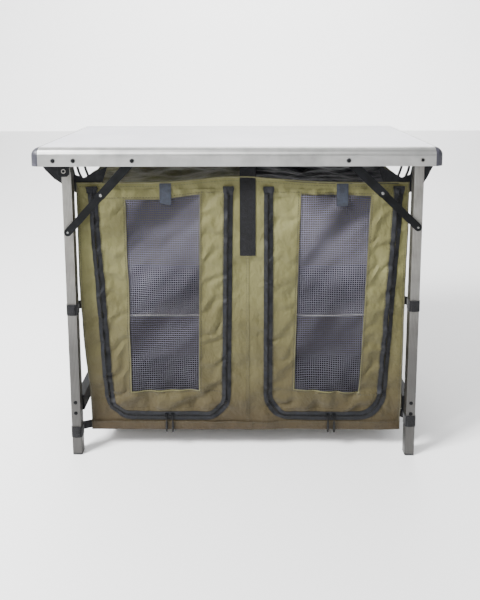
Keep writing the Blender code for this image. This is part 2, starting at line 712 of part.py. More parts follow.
class Door:
    """One door opening: its two sides lean, its bottom is level and its lower corners are round."""

    def __init__(self, name, low_top, low_bottom, high_top, high_bottom):
        self.name = name
        self.low_top = low_top
        self.low_bottom = low_bottom
        self.high_top = high_top
        self.high_bottom = high_bottom

    def low_side(self, z):
        """Where the side nearer to -X is, were it straight all the way down."""
        return self.low_bottom + (self.low_top - self.low_bottom) * (z - DOOR_BOTTOM) / (DOOR_TOP - DOOR_BOTTOM)

    def high_side(self, z):
        """Where the side nearer to +X is, were it straight all the way down."""
        return self.high_bottom + (self.high_top - self.high_bottom) * (z - DOOR_BOTTOM) / (DOOR_TOP - DOOR_BOTTOM)

    def rounding(self, inset, z):
        """How far a round corner takes the sides in at one height, with the shape drawn in by the inset."""
        radius = DOOR_CORNER - inset
        below = min(max(radius + DOOR_BOTTOM + inset - z, 0.0), radius)
        return inset + radius - math.sqrt(radius**2 - below**2)

    def low(self, inset, z):
        return self.low_side(z) + self.rounding(inset, z)

    def high(self, inset, z):
        return self.high_side(z) - self.rounding(inset, z)

    def heights(self, inset, bottom, top):
        """The heights of a side's points between two levels, close together where the corner is round."""
        radius = DOOR_CORNER - inset
        turns = [math.pi / 2 * k / CORNER_STEPS for k in range(CORNER_STEPS + 1)]
        arc = [DOOR_BOTTOM + inset + radius * (1 - math.cos(turn)) for turn in turns]
        return [bottom] + [z for z in arc if bottom < z < top] + [top]

    def outline(self, inset, bottom, top):
        """The door's shape between two levels, drawn in from its sides and its round corners."""
        heights = self.heights(inset, bottom, top)
        up = [(self.high(inset, z), z) for z in heights]
        return up + [(self.low(inset, z), z) for z in reversed(heights)]

    def path(self, inset, top):
        """The zip's line from the top of one side, round the bottom, to the top of the other."""
        heights = self.heights(inset, DOOR_BOTTOM + inset, top)
        down = [(self.low(inset, z), z) for z in reversed(heights)]
        return down + [(self.high(inset, z), z) for z in heights]

    def band(self, outer, inner, top):
        """A U round three sides of the door, between two insets."""
        return self.path(outer, top) + self.path(inner, top)[::-1]

    def window(self, inset, bottom, top):
        """The four corners of the window, drawn in from the door's leaning sides."""
        return [
            (self.low_side(bottom) + inset, bottom),
            (self.high_side(bottom) - inset, bottom),
            (self.high_side(top) - inset, top),
            (self.low_side(top) + inset, top),
        ]


def make_doors():
    """The two door openings, each set in from its wall and from the divider."""
    left = Door(
        "left",
        left_wall_x(DOOR_TOP) + LEFT_DOOR_OUTER_INSET,
        left_wall_x(DOOR_BOTTOM) + LEFT_DOOR_OUTER_INSET,
        DIVIDER_X - LEFT_DOOR_INNER_INSET,
        DIVIDER_X - LEFT_DOOR_INNER_INSET - LEFT_DOOR_INNER_LEAN,
    )
    right = Door(
        "right",
        DIVIDER_X + RIGHT_DOOR_INNER_INSET,
        DIVIDER_X + RIGHT_DOOR_INNER_INSET,
        right_wall_x(DOOR_TOP) - RIGHT_DOOR_OUTER_INSET,
        right_wall_x(DOOR_BOTTOM) - RIGHT_DOOR_OUTER_INSET - RIGHT_DOOR_OUTER_LEAN,
    )
    return left, right


def cupboard_outline():
    """The cupboard's front: straight leaning sides, a flat bottom and the curved upper edge."""
    outline = [(left_wall_x(CUPBOARD_BOTTOM), CUPBOARD_BOTTOM), (right_wall_x(CUPBOARD_BOTTOM), CUPBOARD_BOTTOM)]
    return outline + top_points(right_wall_x(CUPBOARD_TOP), left_wall_x(CUPBOARD_TOP), 0.0)


def make_cupboard_shell(doors):
    """The cupboard's walls, roof and floor. The front is open where the doors are."""
    inner = CUPBOARD_FRONT - CLOTH
    reach = inner - GAP
    shape = bmesh.new()
    prism(shape, cupboard_outline(), "Y", inner, CUPBOARD_FRONT)
    back = add_piece("cupboard_back", shape, OLIVE_CLOTH)
    combine(back, centre_strap(1), "UNION")

    shape = bmesh.new()
    prism(shape, cupboard_outline(), "Y", -CUPBOARD_FRONT, -inner)
    front = add_piece("cupboard_front", shape, OLIVE_CLOTH)
    openings = bmesh.new()
    for door in doors:
        prism(openings, door.outline(0.0, DOOR_BOTTOM, DOOR_TOP), "Y", -CUPBOARD_FRONT - CLOTH, -inner + CLOTH)
    combine(front, openings, "DIFFERENCE")
    combine(front, centre_strap(-1), "UNION")
    combine(front, fixed_zips(doors), "UNION")
    combine(front, door_ties(doors), "UNION")

    inside = CLOTH + GAP
    shape = bmesh.new()
    first = left_wall_x(CUPBOARD_TOP) + inside
    last = right_wall_x(CUPBOARD_TOP) - inside
    outline = top_points(first, last, 0.0) + top_points(last, first, CLOTH)
    prism(shape, outline, "Y", -reach, reach)
    add_piece("cupboard_roof", shape, OLIVE_CLOTH)

    shape = bmesh.new()
    first = left_wall_x(CUPBOARD_BOTTOM + CLOTH) + inside
    last = right_wall_x(CUPBOARD_BOTTOM + CLOTH) - inside
    box(shape, (first, -reach, CUPBOARD_BOTTOM), (last, reach, CUPBOARD_BOTTOM + CLOTH))
    add_piece("cupboard_floor", shape, OLIVE_CLOTH)


def make_cupboard_side(frame, wall_x, heights):
    """One side wall, with the slings that hang it from the end rail and the tabs that reach the bands on the legs."""
    inward = frame.inward
    reach = CUPBOARD_FRONT - CLOTH - GAP
    foot = wall_x(CUPBOARD_BOTTOM)
    head = wall_x(CUPBOARD_TOP)
    outline = [
        (foot, CUPBOARD_BOTTOM),
        (foot + inward * CLOTH, CUPBOARD_BOTTOM),
        (head + inward * CLOTH, CUPBOARD_TOP),
        (head, CUPBOARD_TOP),
    ]
    shape = bmesh.new()
    prism(shape, outline, "Y", -reach, reach)
    wall = add_piece(f"cupboard_{frame.name}_wall", shape, OLIVE_CLOTH)
    straps = bmesh.new()
    for side in (-1, 1):
        prism(straps, sling_outline(frame, wall_x), "Y", side * (reach - STRAP_THICKNESS), side * reach)
        for z in heights.values():
            low = z - STRAP_WIDTH / 2 + TAB_SLACK
            high = z + STRAP_WIDTH / 2 - TAB_SLACK
            tab = tab_outline(frame, wall_x(high), wall_x(z) + inward * CLOTH / 2, reach - GAP)
            prism(straps, [(x, side * y) for x, y in tab], "Z", low, high)
    combine(wall, straps, "UNION")


def tab_outline(frame, face, root, start):
    """A tab seen from above: it starts in the wall's end and lies along the inner face of the band on the leg."""
    end = LEG_IN - GAP * 2 - STRAP_THICKNESS
    return [
        (root, start - STRAP_THICKNESS * 2),
        (root, start),
        (face - frame.inward * GAP, start),
        (frame.leg_x + frame.inward * STRAP_TAB_REACH, end),
        (frame.leg_x, end),
        (frame.leg_x, end - STRAP_THICKNESS),
    ]


def make_cupboard_inside():
    """The wall between the two compartments, with a shelf sewn to each side of it."""
    reach = CUPBOARD_FRONT - CLOTH - GAP
    floor = CUPBOARD_BOTTOM + CLOTH + GAP
    half = CLOTH / 2
    ceiling = min(top_edge(DIVIDER_X - half), top_edge(DIVIDER_X + half)) - CLOTH - GAP
    shape = bmesh.new()
    box(shape, (DIVIDER_X - half, -reach, floor), (DIVIDER_X + half, reach, ceiling))
    divider = add_piece("cupboard_divider", shape, SHELF_BOARD)
    shelf_top = SHELF_HEIGHT + SHELF_THICKNESS
    left_end = left_wall_x(SHELF_HEIGHT) + CLOTH + GAP
    right_end = right_wall_x(SHELF_HEIGHT) - CLOTH - GAP
    shelf = bmesh.new()
    box(shelf, (left_end, -reach, SHELF_HEIGHT), (right_end, reach, shelf_top))
    combine(divider, shelf, "UNION")


def net(shape, corners, y_low, y_high):
    """A flat net in a four-sided window: strands along both ways, in one closed plate with its gaps left open.

    The corners are given from the lower left, anticlockwise seen from the front.
    """
    low_left, low_right, high_right, high_left = (Vector(corner) for corner in corners)
    width = ((low_right - low_left).length + (high_right - high_left).length) / 2
    height = ((high_left - low_left).length + (high_right - low_right).length) / 2

    def lines(count, size):
        pitch = (1 - NET_STRAND / size) / count
        starts = [k * pitch for k in range(count + 1)]
        return sorted(starts + [start + NET_STRAND / size for start in starts])

    columns = lines(NET_COLUMNS, width)
    rows = lines(NET_ROWS, height)
    sheets = []
    for y in (y_low, y_high):
        grid = []
        for v in rows:
            start = low_left.lerp(high_left, v)
            end = low_right.lerp(high_right, v)
            points = [start.lerp(end, u) for u in columns]
            grid.append([shape.verts.new((point.x, y, point.y)) for point in points])
        sheets.append(grid)

    def open_cell(row, column):
        inside = 0 <= row < len(rows) - 1 and 0 <= column < len(columns) - 1
        return not inside or (row % 2 == 1 and column % 2 == 1)

    for row in range(len(rows) - 1):
        for column in range(len(columns) - 1):
            if open_cell(row, column):
                continue
            ends = [(row, column), (row, column + 1), (row + 1, column + 1), (row + 1, column)]
            for grid in sheets:
                shape.faces.new([grid[r][c] for r, c in ends])
            beside = [(row - 1, column), (row, column + 1), (row + 1, column), (row, column - 1)]
            for k, (r, c) in enumerate(beside):
                if not open_cell(r, c):
                    continue
                first = ends[k]
                second = ends[(k + 1) % 4]
                walls = [sheets[0][first[0]][first[1]], sheets[0][second[0]][second[1]]]
                walls += [sheets[1][second[0]][second[1]], sheets[1][first[0]][first[1]]]
                shape.faces.new(walls)


def make_door(door):
    """A door's cloth round its net window, its hem along the bottom and its half of the zip."""
    face = -CUPBOARD_FRONT
    back = -(CUPBOARD_FRONT - CLOTH)
    hem_top = DOOR_BOTTOM + HEM_HEIGHT
    window_bottom = DOOR_BOTTOM + WINDOW_BOTTOM_INSET
    window_top = DOOR_TOP - WINDOW_TOP_INSET
    shape = bmesh.new()
    prism(shape, door.outline(GAP, hem_top + GAP, DOOR_TOP - GAP), "Y", face, back)
    cloth = add_piece(f"{door.name}_door_cloth", shape, OLIVE_CLOTH)
    window = bmesh.new()
    prism(window, door.window(WINDOW_SIDE_INSET, window_bottom, window_top), "Y", face - CLOTH, back + CLOTH)
    combine(cloth, window, "DIFFERENCE")
    combine(cloth, side_zips(door, hem_top + GAP), "UNION")

    shape = bmesh.new()
    corners = door.window(WINDOW_SIDE_INSET + GAP, window_bottom + GAP, window_top - GAP)
    middle = (face + back) / 2
    net(shape, corners, middle - NET_THICKNESS / 2, middle + NET_THICKNESS / 2)
    add_piece(f"{door.name}_window_net", shape, WINDOW_NET)

    shape = bmesh.new()
    prism(shape, door.outline(GAP, DOOR_BOTTOM + GAP, hem_top), "Y", face, back)
    hem = add_piece(f"{door.name}_door_hem", shape, OLIVE_CLOTH)
    tape = bmesh.new()
    prism(tape, door.band(GAP, ZIP_BAND, hem_top), "Y", -ZIP_FACE, middle)
    combine(hem, tape, "UNION")


def side_zips(door, low):
    """The half of the zip that is sewn up both sides of a door's cloth."""
    shape = bmesh.new()
    back = -(CUPBOARD_FRONT - CLOTH / 2)
    top = DOOR_TOP - GAP
    for edge in (door.low, door.high):
        outline = [(edge(GAP, z), z) for z in door.heights(GAP, low, top)]
        outline += [(edge(ZIP_BAND, z), z) for z in reversed(door.heights(ZIP_BAND, low, top))]
        prism(shape, outline, "Y", -ZIP_FACE, back)
    return shape


def fixed_zips(doors):
    """The half of each zip that stays on the cupboard's front."""
    shape = bmesh.new()
    for door in doors:
        prism(shape, door.band(-ZIP_BAND, -GAP, DOOR_TOP), "Y", -ZIP_FACE, -(CUPBOARD_FRONT - CLOTH / 2))
    return shape


def make_sliders(door, offset, outward):
    """The two sliders that meet at the bottom of a door, each with its pull hanging from it.

    The outer one runs towards the cupboard's wall, the inner one towards the divider.
    """
    middle = (door.low_bottom + door.high_bottom) / 2 + offset
    back = -ZIP_FACE - GAP
    front = back - SLIDER_DEPTH
    low = DOOR_BOTTOM - SLIDER_HEIGHT / 2
    half = SLIDER_WIDTH / 2
    sides = [(half - SLIDER_TAPER, low), (half, low + half), (half, low + SLIDER_HEIGHT)]
    pull_top = DOOR_BOTTOM + SLIDER_HEIGHT / 4
    pull_back = front - PULL_CLEARANCE
    for name, away in (("outer", outward), ("inner", -outward)):
        x = middle + away * SLIDER_SPACING / 2
        shape = bmesh.new()
        prism(shape, mirrored(x, sides), "Y", front, back)
        add_piece(f"{door.name}_{name}_slider", shape, BLACK_STEEL, (x, back, DOOR_BOTTOM))
        shape = bmesh.new()
        prism(shape, mirrored(x, pull_side(pull_top)), "Y", pull_back - PULL_THICKNESS, pull_back)
        axis = (x, pull_back - PULL_THICKNESS / 2, pull_top - PULL_THICKNESS / 2)
        add_piece(f"{door.name}_{name}_pull", shape, BLACK_STEEL, axis)


def pull_side(top):
    """One side of a pull, from its rounded tip up: distances from its middle line and heights."""
    tip = top - PULL_LENGTH
    half = PULL_WIDTH / 2
    return [
        (half - PULL_BULB, tip),
        (half, tip + PULL_BULB),
        (half, tip + PULL_WIDTH),
        (half - PULL_BULB, tip + PULL_WIDTH + PULL_BULB),
        (half - PULL_BULB, top),
    ]


def mirrored(x, side):
    """A whole outline from its right side, mirrored to the left of a middle line."""
    return [(x + away, z) for away, z in side] + [(x - away, z) for away, z in reversed(side)]


def centre_strap(side):
    """The strap that holds up the middle of the cupboard's front or back from under the table top."""
    shape = bmesh.new()
    top = TOP_HEIGHT - PANEL_THICKNESS - GAP
    half = CENTRE_STRAP_WIDTH / 2
    ys = sorted((side * (CUPBOARD_FRONT - CLOTH / 2), side * (CUPBOARD_FRONT + STRAP_THICKNESS)))
    box(shape, (DIVIDER_X - half, ys[0], top - CENTRE_STRAP_LENGTH), (DIVIDER_X + half, ys[1], top))
    return shape


def door_ties(doors):
    """The tie over the top of each door, which holds the door when it is rolled up."""
    shape = bmesh.new()
    half = TIE_WIDTH / 2
    root = -(CUPBOARD_FRONT - CLOTH / 2)
    back = -(CUPBOARD_FRONT + GAP)
    front = back - STRAP_THICKNESS
    for door, offset in zip(doors, (LEFT_TIE_OFFSET, RIGHT_TIE_OFFSET)):
        x = (door.low_top + door.high_top) / 2 + offset
        top = min(top_edge(x - half), top_edge(x + half)) - CLOTH
        outline = [(root, top), (root, DOOR_TOP + GAP), (back, DOOR_TOP + GAP), (back, top - TIE_LENGTH)]
        outline += [(front, top - TIE_LENGTH), (front, top)]
        prism(shape, outline, "X", x - half, x + half)
    return shape


def sling_outline(frame, wall_x):
    """The webbing that hangs one side of the cupboard: it runs from the end rail to the cupboard's upper corner."""
    inward = frame.inward
    rail_x = TOP_LENGTH / 2 - RAIL_WALL - GAP
    rail_z = TOP_HEIGHT - RAIL_WIDTH
    high = CUPBOARD_TOP - CLOTH
    low = CUPBOARD_TOP - SLING_DROP
    return [
        (-inward * rail_x, rail_z),
        (-inward * rail_x, rail_z - SLING_RISE),
        (wall_x(low) + inward * CLOTH / 2, low),
        (wall_x(high) + inward * CLOTH / 2, high),
        (frame.leg_x, LIP_BOTTOM - GAP),
    ]


def make_unit():
    """The whole unit: the table top, the two leg frames with their braces, and the cupboard."""
    make_table_top()
    make_rails()
    make_corner_caps()
    make_brackets()
    left_frame = Frame("left", LEFT_PIVOT_X, LEFT_PIVOT_Z, LEFT_LEG_X, 1)
    right_frame = Frame("right", RIGHT_PIVOT_X, RIGHT_PIVOT_Z, RIGHT_LEG_X, -1)
    left_brace = Brace(left_frame, LEFT_BRACE_RAIL_X, LEFT_BRACE_LEG_DROP)
    right_brace = Brace(right_frame, RIGHT_BRACE_RAIL_X, RIGHT_BRACE_LEG_DROP)
    left_straps = {"mid": LEFT_MID_STRAP, "low": LEFT_LOW_STRAP}
    right_straps = {"mid": RIGHT_MID_STRAP, "low": RIGHT_LOW_STRAP}
    bracket_outer = RAIL_INNER_Y - GAP
    bracket_inner = bracket_outer - BRACKET_THICKNESS
    make_frame(left_frame, left_straps, left_brace, bracket_inner, bracket_outer)
    make_frame(right_frame, right_straps, right_brace, RAIL_INNER_Y, RAIL_OUTER_Y)
    doors = make_doors()
    make_cupboard_shell(doors)
    make_cupboard_side(left_frame, left_wall_x, left_straps)
    make_cupboard_side(right_frame, right_wall_x, right_straps)
    make_cupboard_inside()
    for door, offset, outward in zip(doors, (LEFT_SLIDER_OFFSET, RIGHT_SLIDER_OFFSET), (-1, 1)):
        make_door(door)
        make_sliders(door, offset, outward)


clear_scene()
make_unit()
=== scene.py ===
"""Dresses a folding camp kitchen: a white table top on two folding leg frames, with a double cloth cupboard below.

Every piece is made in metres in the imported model's own frame: +X is to the right of someone who faces the doors,
-Y is the front, and the floor is at z = 0. Solids whose shape is right keep it and get their finish here. The cloth,
the nets, the zips and the straps are made anew over the plain solids that stand for them.
"""

import logging
import math
from dataclasses import dataclass, field
from enum import Enum
from functools import partial
from typing import Any, Callable

import bpy
import numpy as np
from mathutils import Matrix, Vector
from mathutils.geometry import delaunay_2d_cdt


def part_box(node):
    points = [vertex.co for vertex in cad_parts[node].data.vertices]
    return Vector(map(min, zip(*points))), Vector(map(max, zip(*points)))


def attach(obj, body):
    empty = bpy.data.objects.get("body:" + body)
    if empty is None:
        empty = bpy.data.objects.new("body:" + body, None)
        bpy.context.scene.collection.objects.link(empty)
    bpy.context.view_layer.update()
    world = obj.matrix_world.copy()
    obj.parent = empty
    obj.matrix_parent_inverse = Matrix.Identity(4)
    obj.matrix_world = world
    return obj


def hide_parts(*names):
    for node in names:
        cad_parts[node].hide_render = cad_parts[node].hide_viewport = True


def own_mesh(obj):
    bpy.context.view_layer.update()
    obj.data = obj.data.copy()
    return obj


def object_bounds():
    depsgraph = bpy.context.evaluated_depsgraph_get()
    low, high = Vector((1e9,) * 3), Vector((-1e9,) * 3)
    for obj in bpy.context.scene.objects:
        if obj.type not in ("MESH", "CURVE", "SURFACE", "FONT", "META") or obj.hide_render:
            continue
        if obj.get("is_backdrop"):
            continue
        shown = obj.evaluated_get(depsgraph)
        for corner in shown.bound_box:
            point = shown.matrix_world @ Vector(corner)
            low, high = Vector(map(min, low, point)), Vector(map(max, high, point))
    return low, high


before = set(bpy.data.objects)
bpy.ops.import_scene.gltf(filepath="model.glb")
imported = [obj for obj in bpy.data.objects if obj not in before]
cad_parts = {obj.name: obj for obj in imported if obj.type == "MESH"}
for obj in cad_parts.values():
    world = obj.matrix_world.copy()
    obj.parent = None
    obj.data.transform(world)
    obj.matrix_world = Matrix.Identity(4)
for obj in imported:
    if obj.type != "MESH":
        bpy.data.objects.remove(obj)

Point = tuple[float, float]
Triple = tuple[float, float, float]
Shape = list[Point]
Drape = Callable[[np.ndarray, np.ndarray], np.ndarray]

log = logging.getLogger("camp_kitchen")


class Axis(Enum):
    """The way that a pattern runs."""

    X = 0
    Y = 1
    Z = 2


class Face(Enum):
    """The front or the back of the unit, as the sign of Y."""

    FRONT = -1
    BACK = 1


class End(Enum):
    """The left or the right end of the unit, as the sign of X."""

    LEFT = -1
    RIGHT = 1


class Texture(Enum):
    """A texture, as its node, the output that it is read from, and the scale that puts its features a metre apart."""

    NOISE = ("TexNoise", "Fac", 1.0)
    CELLS = ("TexVoronoi", "Distance", 1.0)
    BANDS = ("TexWave", "Fac", math.pi / 10)


# Finishes


def linear(colour: str) -> tuple[float, float, float, float]:
    """Turns an sRGB hex colour into linear red, green and blue, and a full alpha."""
    parts = [int(colour[k : k + 2], 16) / 255 for k in (0, 2, 4)]
    red, green, blue = (c / 12.92 if c <= 0.04045 else ((c + 0.055) / 1.055) ** 2.4 for c in parts)
    return (red, green, blue, 1.0)


def add_node(tree: bpy.types.NodeTree, kind: str, settings: dict[str, Any], links: dict[Any, Any]) -> bpy.types.Node:
    """Adds a shader node.

    Args:
        tree: The material's node tree.
        kind: The node's type, without its leading "ShaderNode".
        settings: Values for its inputs, or for its own properties, by name.
        links: Output sockets to join to its inputs, by the input's name or number.

    Returns:
        The new node.
    """
    made = tree.nodes.new(f"ShaderNode{kind}")
    for name, value in settings.items():
        if hasattr(made, name):
            setattr(made, name, value)
        else:
            made.inputs[name].default_value = value
    for name, source in links.items():
        tree.links.new(source, made.inputs[name])
    return made


@dataclass(frozen=True)
class DustAndShade:
    """Painted shade and dust that darken a surface towards the bottom: its colour, where it begins, where there is
    most of it, and the share that it covers.
    """

    colour: str
    begins: float
    most: float
    share: float


@dataclass
class Ground:
    """What a surface is drawn on: a material's nodes, its shader and the place in the model's frame."""

    tree: bpy.types.NodeTree
    shader: bpy.types.Node
    place: Any
    normal: Any = None

    def pattern(self, texture: Texture, millimetres: float, place: Any = None, **settings: Any) -> Any:
        """A texture's value.

        Args:
            texture: Which texture.
            millimetres: How far apart its features are.
            place: Where it is read, if that isn't the plain place.
            settings: Its other inputs and properties.

        Returns:
            The value's socket.
        """
        kind, output, metre = texture.value
        scale = metre * 1000 / millimetres
        where = self.place if place is None else place
        return add_node(self.tree, kind, {"Scale": scale, **settings}, {"Vector": where}).outputs[output]

    def stretched(self, **settings: Any) -> Any:
        """The place, stretched or turned."""
        return add_node(self.tree, "Mapping", settings, {"Vector": self.place}).outputs["Vector"]

    def paint(self, share: Any, first: str, second: str, span: Point, dust: DustAndShade | None = None) -> None:
        """Colours the surface.

        Args:
            share: A value that says which colour there is.
            first: The colour where the value is low.
            second: The colour where it is high.
            span: Where the first colour ends, and where the second one begins.
            dust: Painted shade and dust over both colours, more of it lower down.
        """
        ramp = add_node(self.tree, "ValToRGB", {}, {"Fac": share})
        for stop, where, colour in zip(ramp.color_ramp.elements, span, (first, second)):
            stop.position = where
            stop.color = linear(colour)
        painted = ramp.outputs["Color"]
        # Painted shade, with dust on some finishes: the colour darkens towards the bottom.
        if dust:
            height = add_node(self.tree, "SeparateXYZ", {}, {"Vector": self.place}).outputs["Z"]
            reach = {"From Min": dust.begins, "From Max": dust.most, "To Max": dust.share}
            low = add_node(self.tree, "MapRange", reach, {"Value": height}).outputs["Result"]
            darkened_low = add_node(self.tree, "Mix", {"data_type": "RGBA"}, {0: low, 6: painted})
            darkened_low.inputs[7].default_value = linear(dust.colour)
            painted = darkened_low.outputs[2]
        self.tree.links.new(painted, self.shader.inputs["Base Color"])

    def emboss(self, height: Any, depth: float) -> None:
        """Adds a relief whose full height is the depth, in metres, over the relief that is there."""
        links = {"Height": height} | ({} if self.normal is None else {"Normal": self.normal})
        self.normal = add_node(self.tree, "Bump", {"Strength": 1.0, "Distance": depth}, links).outputs["Normal"]
        self.tree.links.new(self.normal, self.shader.inputs["Normal"])


@dataclass(frozen=True)
class Finish:
    """What every finish has: its name, its two colours and how it reflects. Each kind adds its own surface."""

    name: str
    colour: str
    other: str
    roughness: float
    metallic: float = 0.0
    ior: float = 1.5
    sheen: float = 0.0
    # Painted shade, with dust on some finishes, that darkens the colour towards the bottom.
    dust: DustAndShade | None = None

    def material(self) -> bpy.types.Material:
        """The finish's material, made once."""
        known = bpy.data.materials.get(self.name)
        if known:
            return known
        made = bpy.data.materials.new(self.name)
        made.use_nodes = True
        tree = made.node_tree
        shader = tree.nodes["Principled BSDF"]
        shader.inputs["Base Color"].default_value = linear(self.colour)
        shader.inputs["Roughness"].default_value = self.roughness
        shader.inputs["Metallic"].default_value = self.metallic
        shader.inputs["Sheen Weight"].default_value = self.sheen
        if self.metallic < 0.5:
            shader.inputs["IOR"].default_value = self.ior
        self.surface(Ground(tree, shader, add_node(tree, "TexCoord", {}, {}).outputs["Object"]))
        return made

    def surface(self, ground: Ground) -> None:
        """Adds the pattern and the relief that this kind of surface has."""

    def dress(self, piece: bpy.types.Object) -> None:
        """Gives a piece this finish, in place of any other."""
        piece.data.materials.clear()
        piece.data.materials.append(self.material())


class MelamineBoard(Finish):
    """White melamine laminate, pressed on board under heat. The plate's fine grain softens its gloss, and the sheet
    has a faint cool mottling."""

    def surface(self, ground: Ground) -> None:
        """A broad mottling and the pressing plate's grain, about 1.5 mm, drawn twice as coarse."""
        ground.paint(ground.pattern(Texture.NOISE, 160, Detail=3), self.other, self.colour, (0.35, 0.65))
        ground.emboss(ground.pattern(Texture.NOISE, 3), 0.00006)


@dataclass(frozen=True)
class AnodisedAluminium(Finish):
    """Aluminium drawn through a die and anodised. The die leaves lines along the length, and the clear oxide layer
    makes the metal satin. Handling dulls it in patches."""

    run: Axis = Axis.X
    groove_pitch: float = 0.0

    def surface(self, ground: Ground) -> None:
        """Die lines, about 0.2 mm apart and drawn at 1.5 mm so that they show, and grooves on ribbed tubes."""
        along = [0.015 if axis is self.run else 1.0 for axis in Axis]
        lines = ground.pattern(Texture.NOISE, 1.5, ground.stretched(Scale=along), Detail=3)
        handling = ground.pattern(Texture.NOISE, 45, Detail=4)
        # On the legs the colour darkens towards the bottom: painted shade.
        ground.paint(handling, self.other, self.colour, (0.2, 0.6), self.dust)
        satin = {"To Min": self.roughness - 0.08, "To Max": self.roughness + 0.1}
        rough = add_node(ground.tree, "MapRange", satin, {"Value": lines})
        ground.tree.links.new(rough.outputs["Result"], ground.shader.inputs["Roughness"])
        ground.emboss(lines, 0.00008)
        for way in "XY" if self.groove_pitch else "":
            ground.emboss(ground.pattern(Texture.BANDS, self.groove_pitch, bands_direction=way), 0.0006)


class PowderCoat(Finish):
    """Black epoxy powder, baked on steel. It flows into a fine orange peel with a low gloss, and holds faint dust."""

    def surface(self, ground: Ground) -> None:
        """Orange peel of about 1 mm, drawn at 2 mm, and the dust."""
        ground.paint(ground.pattern(Texture.NOISE, 30, Detail=4), self.colour, self.other, (0.45, 0.8))
        ground.emboss(ground.pattern(Texture.NOISE, 2), 0.00008)


class PlatedSteel(Finish):
    """Zinc-plated steel rivets, upset cold. Bright, with the faint dulling that zinc takes in the hand."""

    def surface(self, ground: Ground) -> None:
        """Patches of dulled zinc about 2 mm across."""
        patches = ground.pattern(Texture.NOISE, 2, Detail=3)
        ground.paint(patches, self.other, self.colour, (0.2, 0.6))
        ground.emboss(patches, 0.00003)


class MouldedPlastic(Finish):
    """Plastic moulded in a spark-eroded tool, such as ABS caps and polypropylene feet. The tool's grain scatters its
    highlights, and scuffs are paler."""

    def surface(self, ground: Ground) -> None:
        """Spark-eroded grain of about 0.4 mm, drawn at 1.2 mm, and the scuffs."""
        ground.paint(ground.pattern(Texture.NOISE, 12, Detail=5), self.colour, self.other, (0.52, 0.9))
        ground.emboss(ground.pattern(Texture.NOISE, 1.2), 0.0001)


@dataclass(frozen=True)
class CoatedPolyester(Finish):
    """Plain-weave polyester with a thin polyurethane coat on its back. The threads give a fine cross grain and a soft
    sheen, and handling and folding leave paler and darker patches."""

    sheen: float = 0.12
    drawn_thread: float = 2.6

    def surface(self, ground: Ground) -> None:
        """The weave, with threads of half a millimetre drawn coarser so that they show, patches, crumples, and on the
        olive cloth brown dust with painted shade towards the bottom.
        """
        patches = ground.pattern(Texture.NOISE, 130, Detail=4)
        ground.paint(patches, self.colour, self.other, (0.3, 0.72), self.dust)
        crumples = ground.pattern(Texture.NOISE, 30, ground.stretched(Scale=(1.0, 1.0, 0.7)), Detail=3)
        ground.emboss(crumples, 0.0085)
        ground.emboss(ground.pattern(Texture.CELLS, self.drawn_thread, Randomness=0.25), 0.00022)


class NetThread(Finish):
    """Knitted polyester insect net, heat set. Each thread is matt; painted shade darkens it in slow slanted bands and
    towards the bottom."""

    def surface(self, ground: Ground) -> None:
        """Slow slanted waves of painted shade across the thread, and painted shade towards the bottom."""
        slant = {"vector_type": "TEXTURE", "Rotation": (0.0, math.radians(-40), 0.0), "Scale": (2.9, 1.0, 1.0)}
        waves = ground.pattern(Texture.NOISE, 80, ground.stretched(**slant))
        # The second colour is painted shade in slanted bands, and the colour darkens towards the bottom as painted
        # shade.
        ground.paint(waves, self.other, self.colour, (0.36, 0.62), self.dust)


@dataclass(frozen=True)
class WovenTape(Finish):
    """Narrow polypropylene or polyester tape, woven on a needle loom. Its ribs cross the width, the filaments give it
    a low silky sheen, and loops stand up on hook-and-loop tape."""

    sheen: float = 0.05
    rib: float = 2.4
    fuzz: float = 0.0

    def surface(self, ground: Ground) -> None:
        """Ribs of about 1.2 mm drawn twice as wide, broken up by the loops."""
        # The lighter second colour is a painted sheen highlight, in random streaks.
        ground.paint(ground.pattern(Texture.NOISE, 9, Detail=4), self.colour, self.other, (0.4, 0.75))
        ribs = ground.pattern(Texture.CELLS, self.rib, Randomness=0.4 + self.fuzz)
        ground.emboss(ribs, 0.0004 + 0.0008 * self.fuzz)


class LinedBoard(Finish):
    """Stiff card sewn into grey polyester lining. It stays flat, with the lining's fine weave and slight soiling."""

    def surface(self, ground: Ground) -> None:
        """The soiling, and the lining's weave drawn at 2.5 mm."""
        ground.paint(ground.pattern(Texture.NOISE, 90, Detail=4), self.other, self.colour, (0.25, 0.6))
        ground.emboss(ground.pattern(Texture.CELLS, 2.5, Randomness=0.3), 0.0002)


class StudioPaper(Finish):
    """The pale paper that the unit stands on, rolled flat, with a faint tooth."""

    def surface(self, ground: Ground) -> None:
        """The paper's tooth."""
        ground.emboss(ground.pattern(Texture.NOISE, 6), 0.00005)


@dataclass(frozen=True)
class LitPaper(Finish):
    """The white paper at the back of the studio, which lamps of its own light evenly."""

    glow: float = 1.9

    def surface(self, ground: Ground) -> None:
        """An even glow."""
        ground.shader.inputs["Emission Color"].default_value = linear(self.colour)
        ground.shader.inputs["Emission Strength"].default_value = self.glow


# Brown dust and painted shade: the olive cloth darker and browner towards the bottom
LOW_DUST_AND_SHADE = DustAndShade("281B09", 0.50, 0.05, 0.94)
# Painted shade: the leg tubes darker towards the bottom
LEG_PAINTED_SHADE = DustAndShade("4A4948", 0.60, 0.28, 0.90)
# Painted shade: the net darker towards the bottom
NET_PAINTED_SHADE = DustAndShade("26252B", 0.66, 0.14, 0.92)

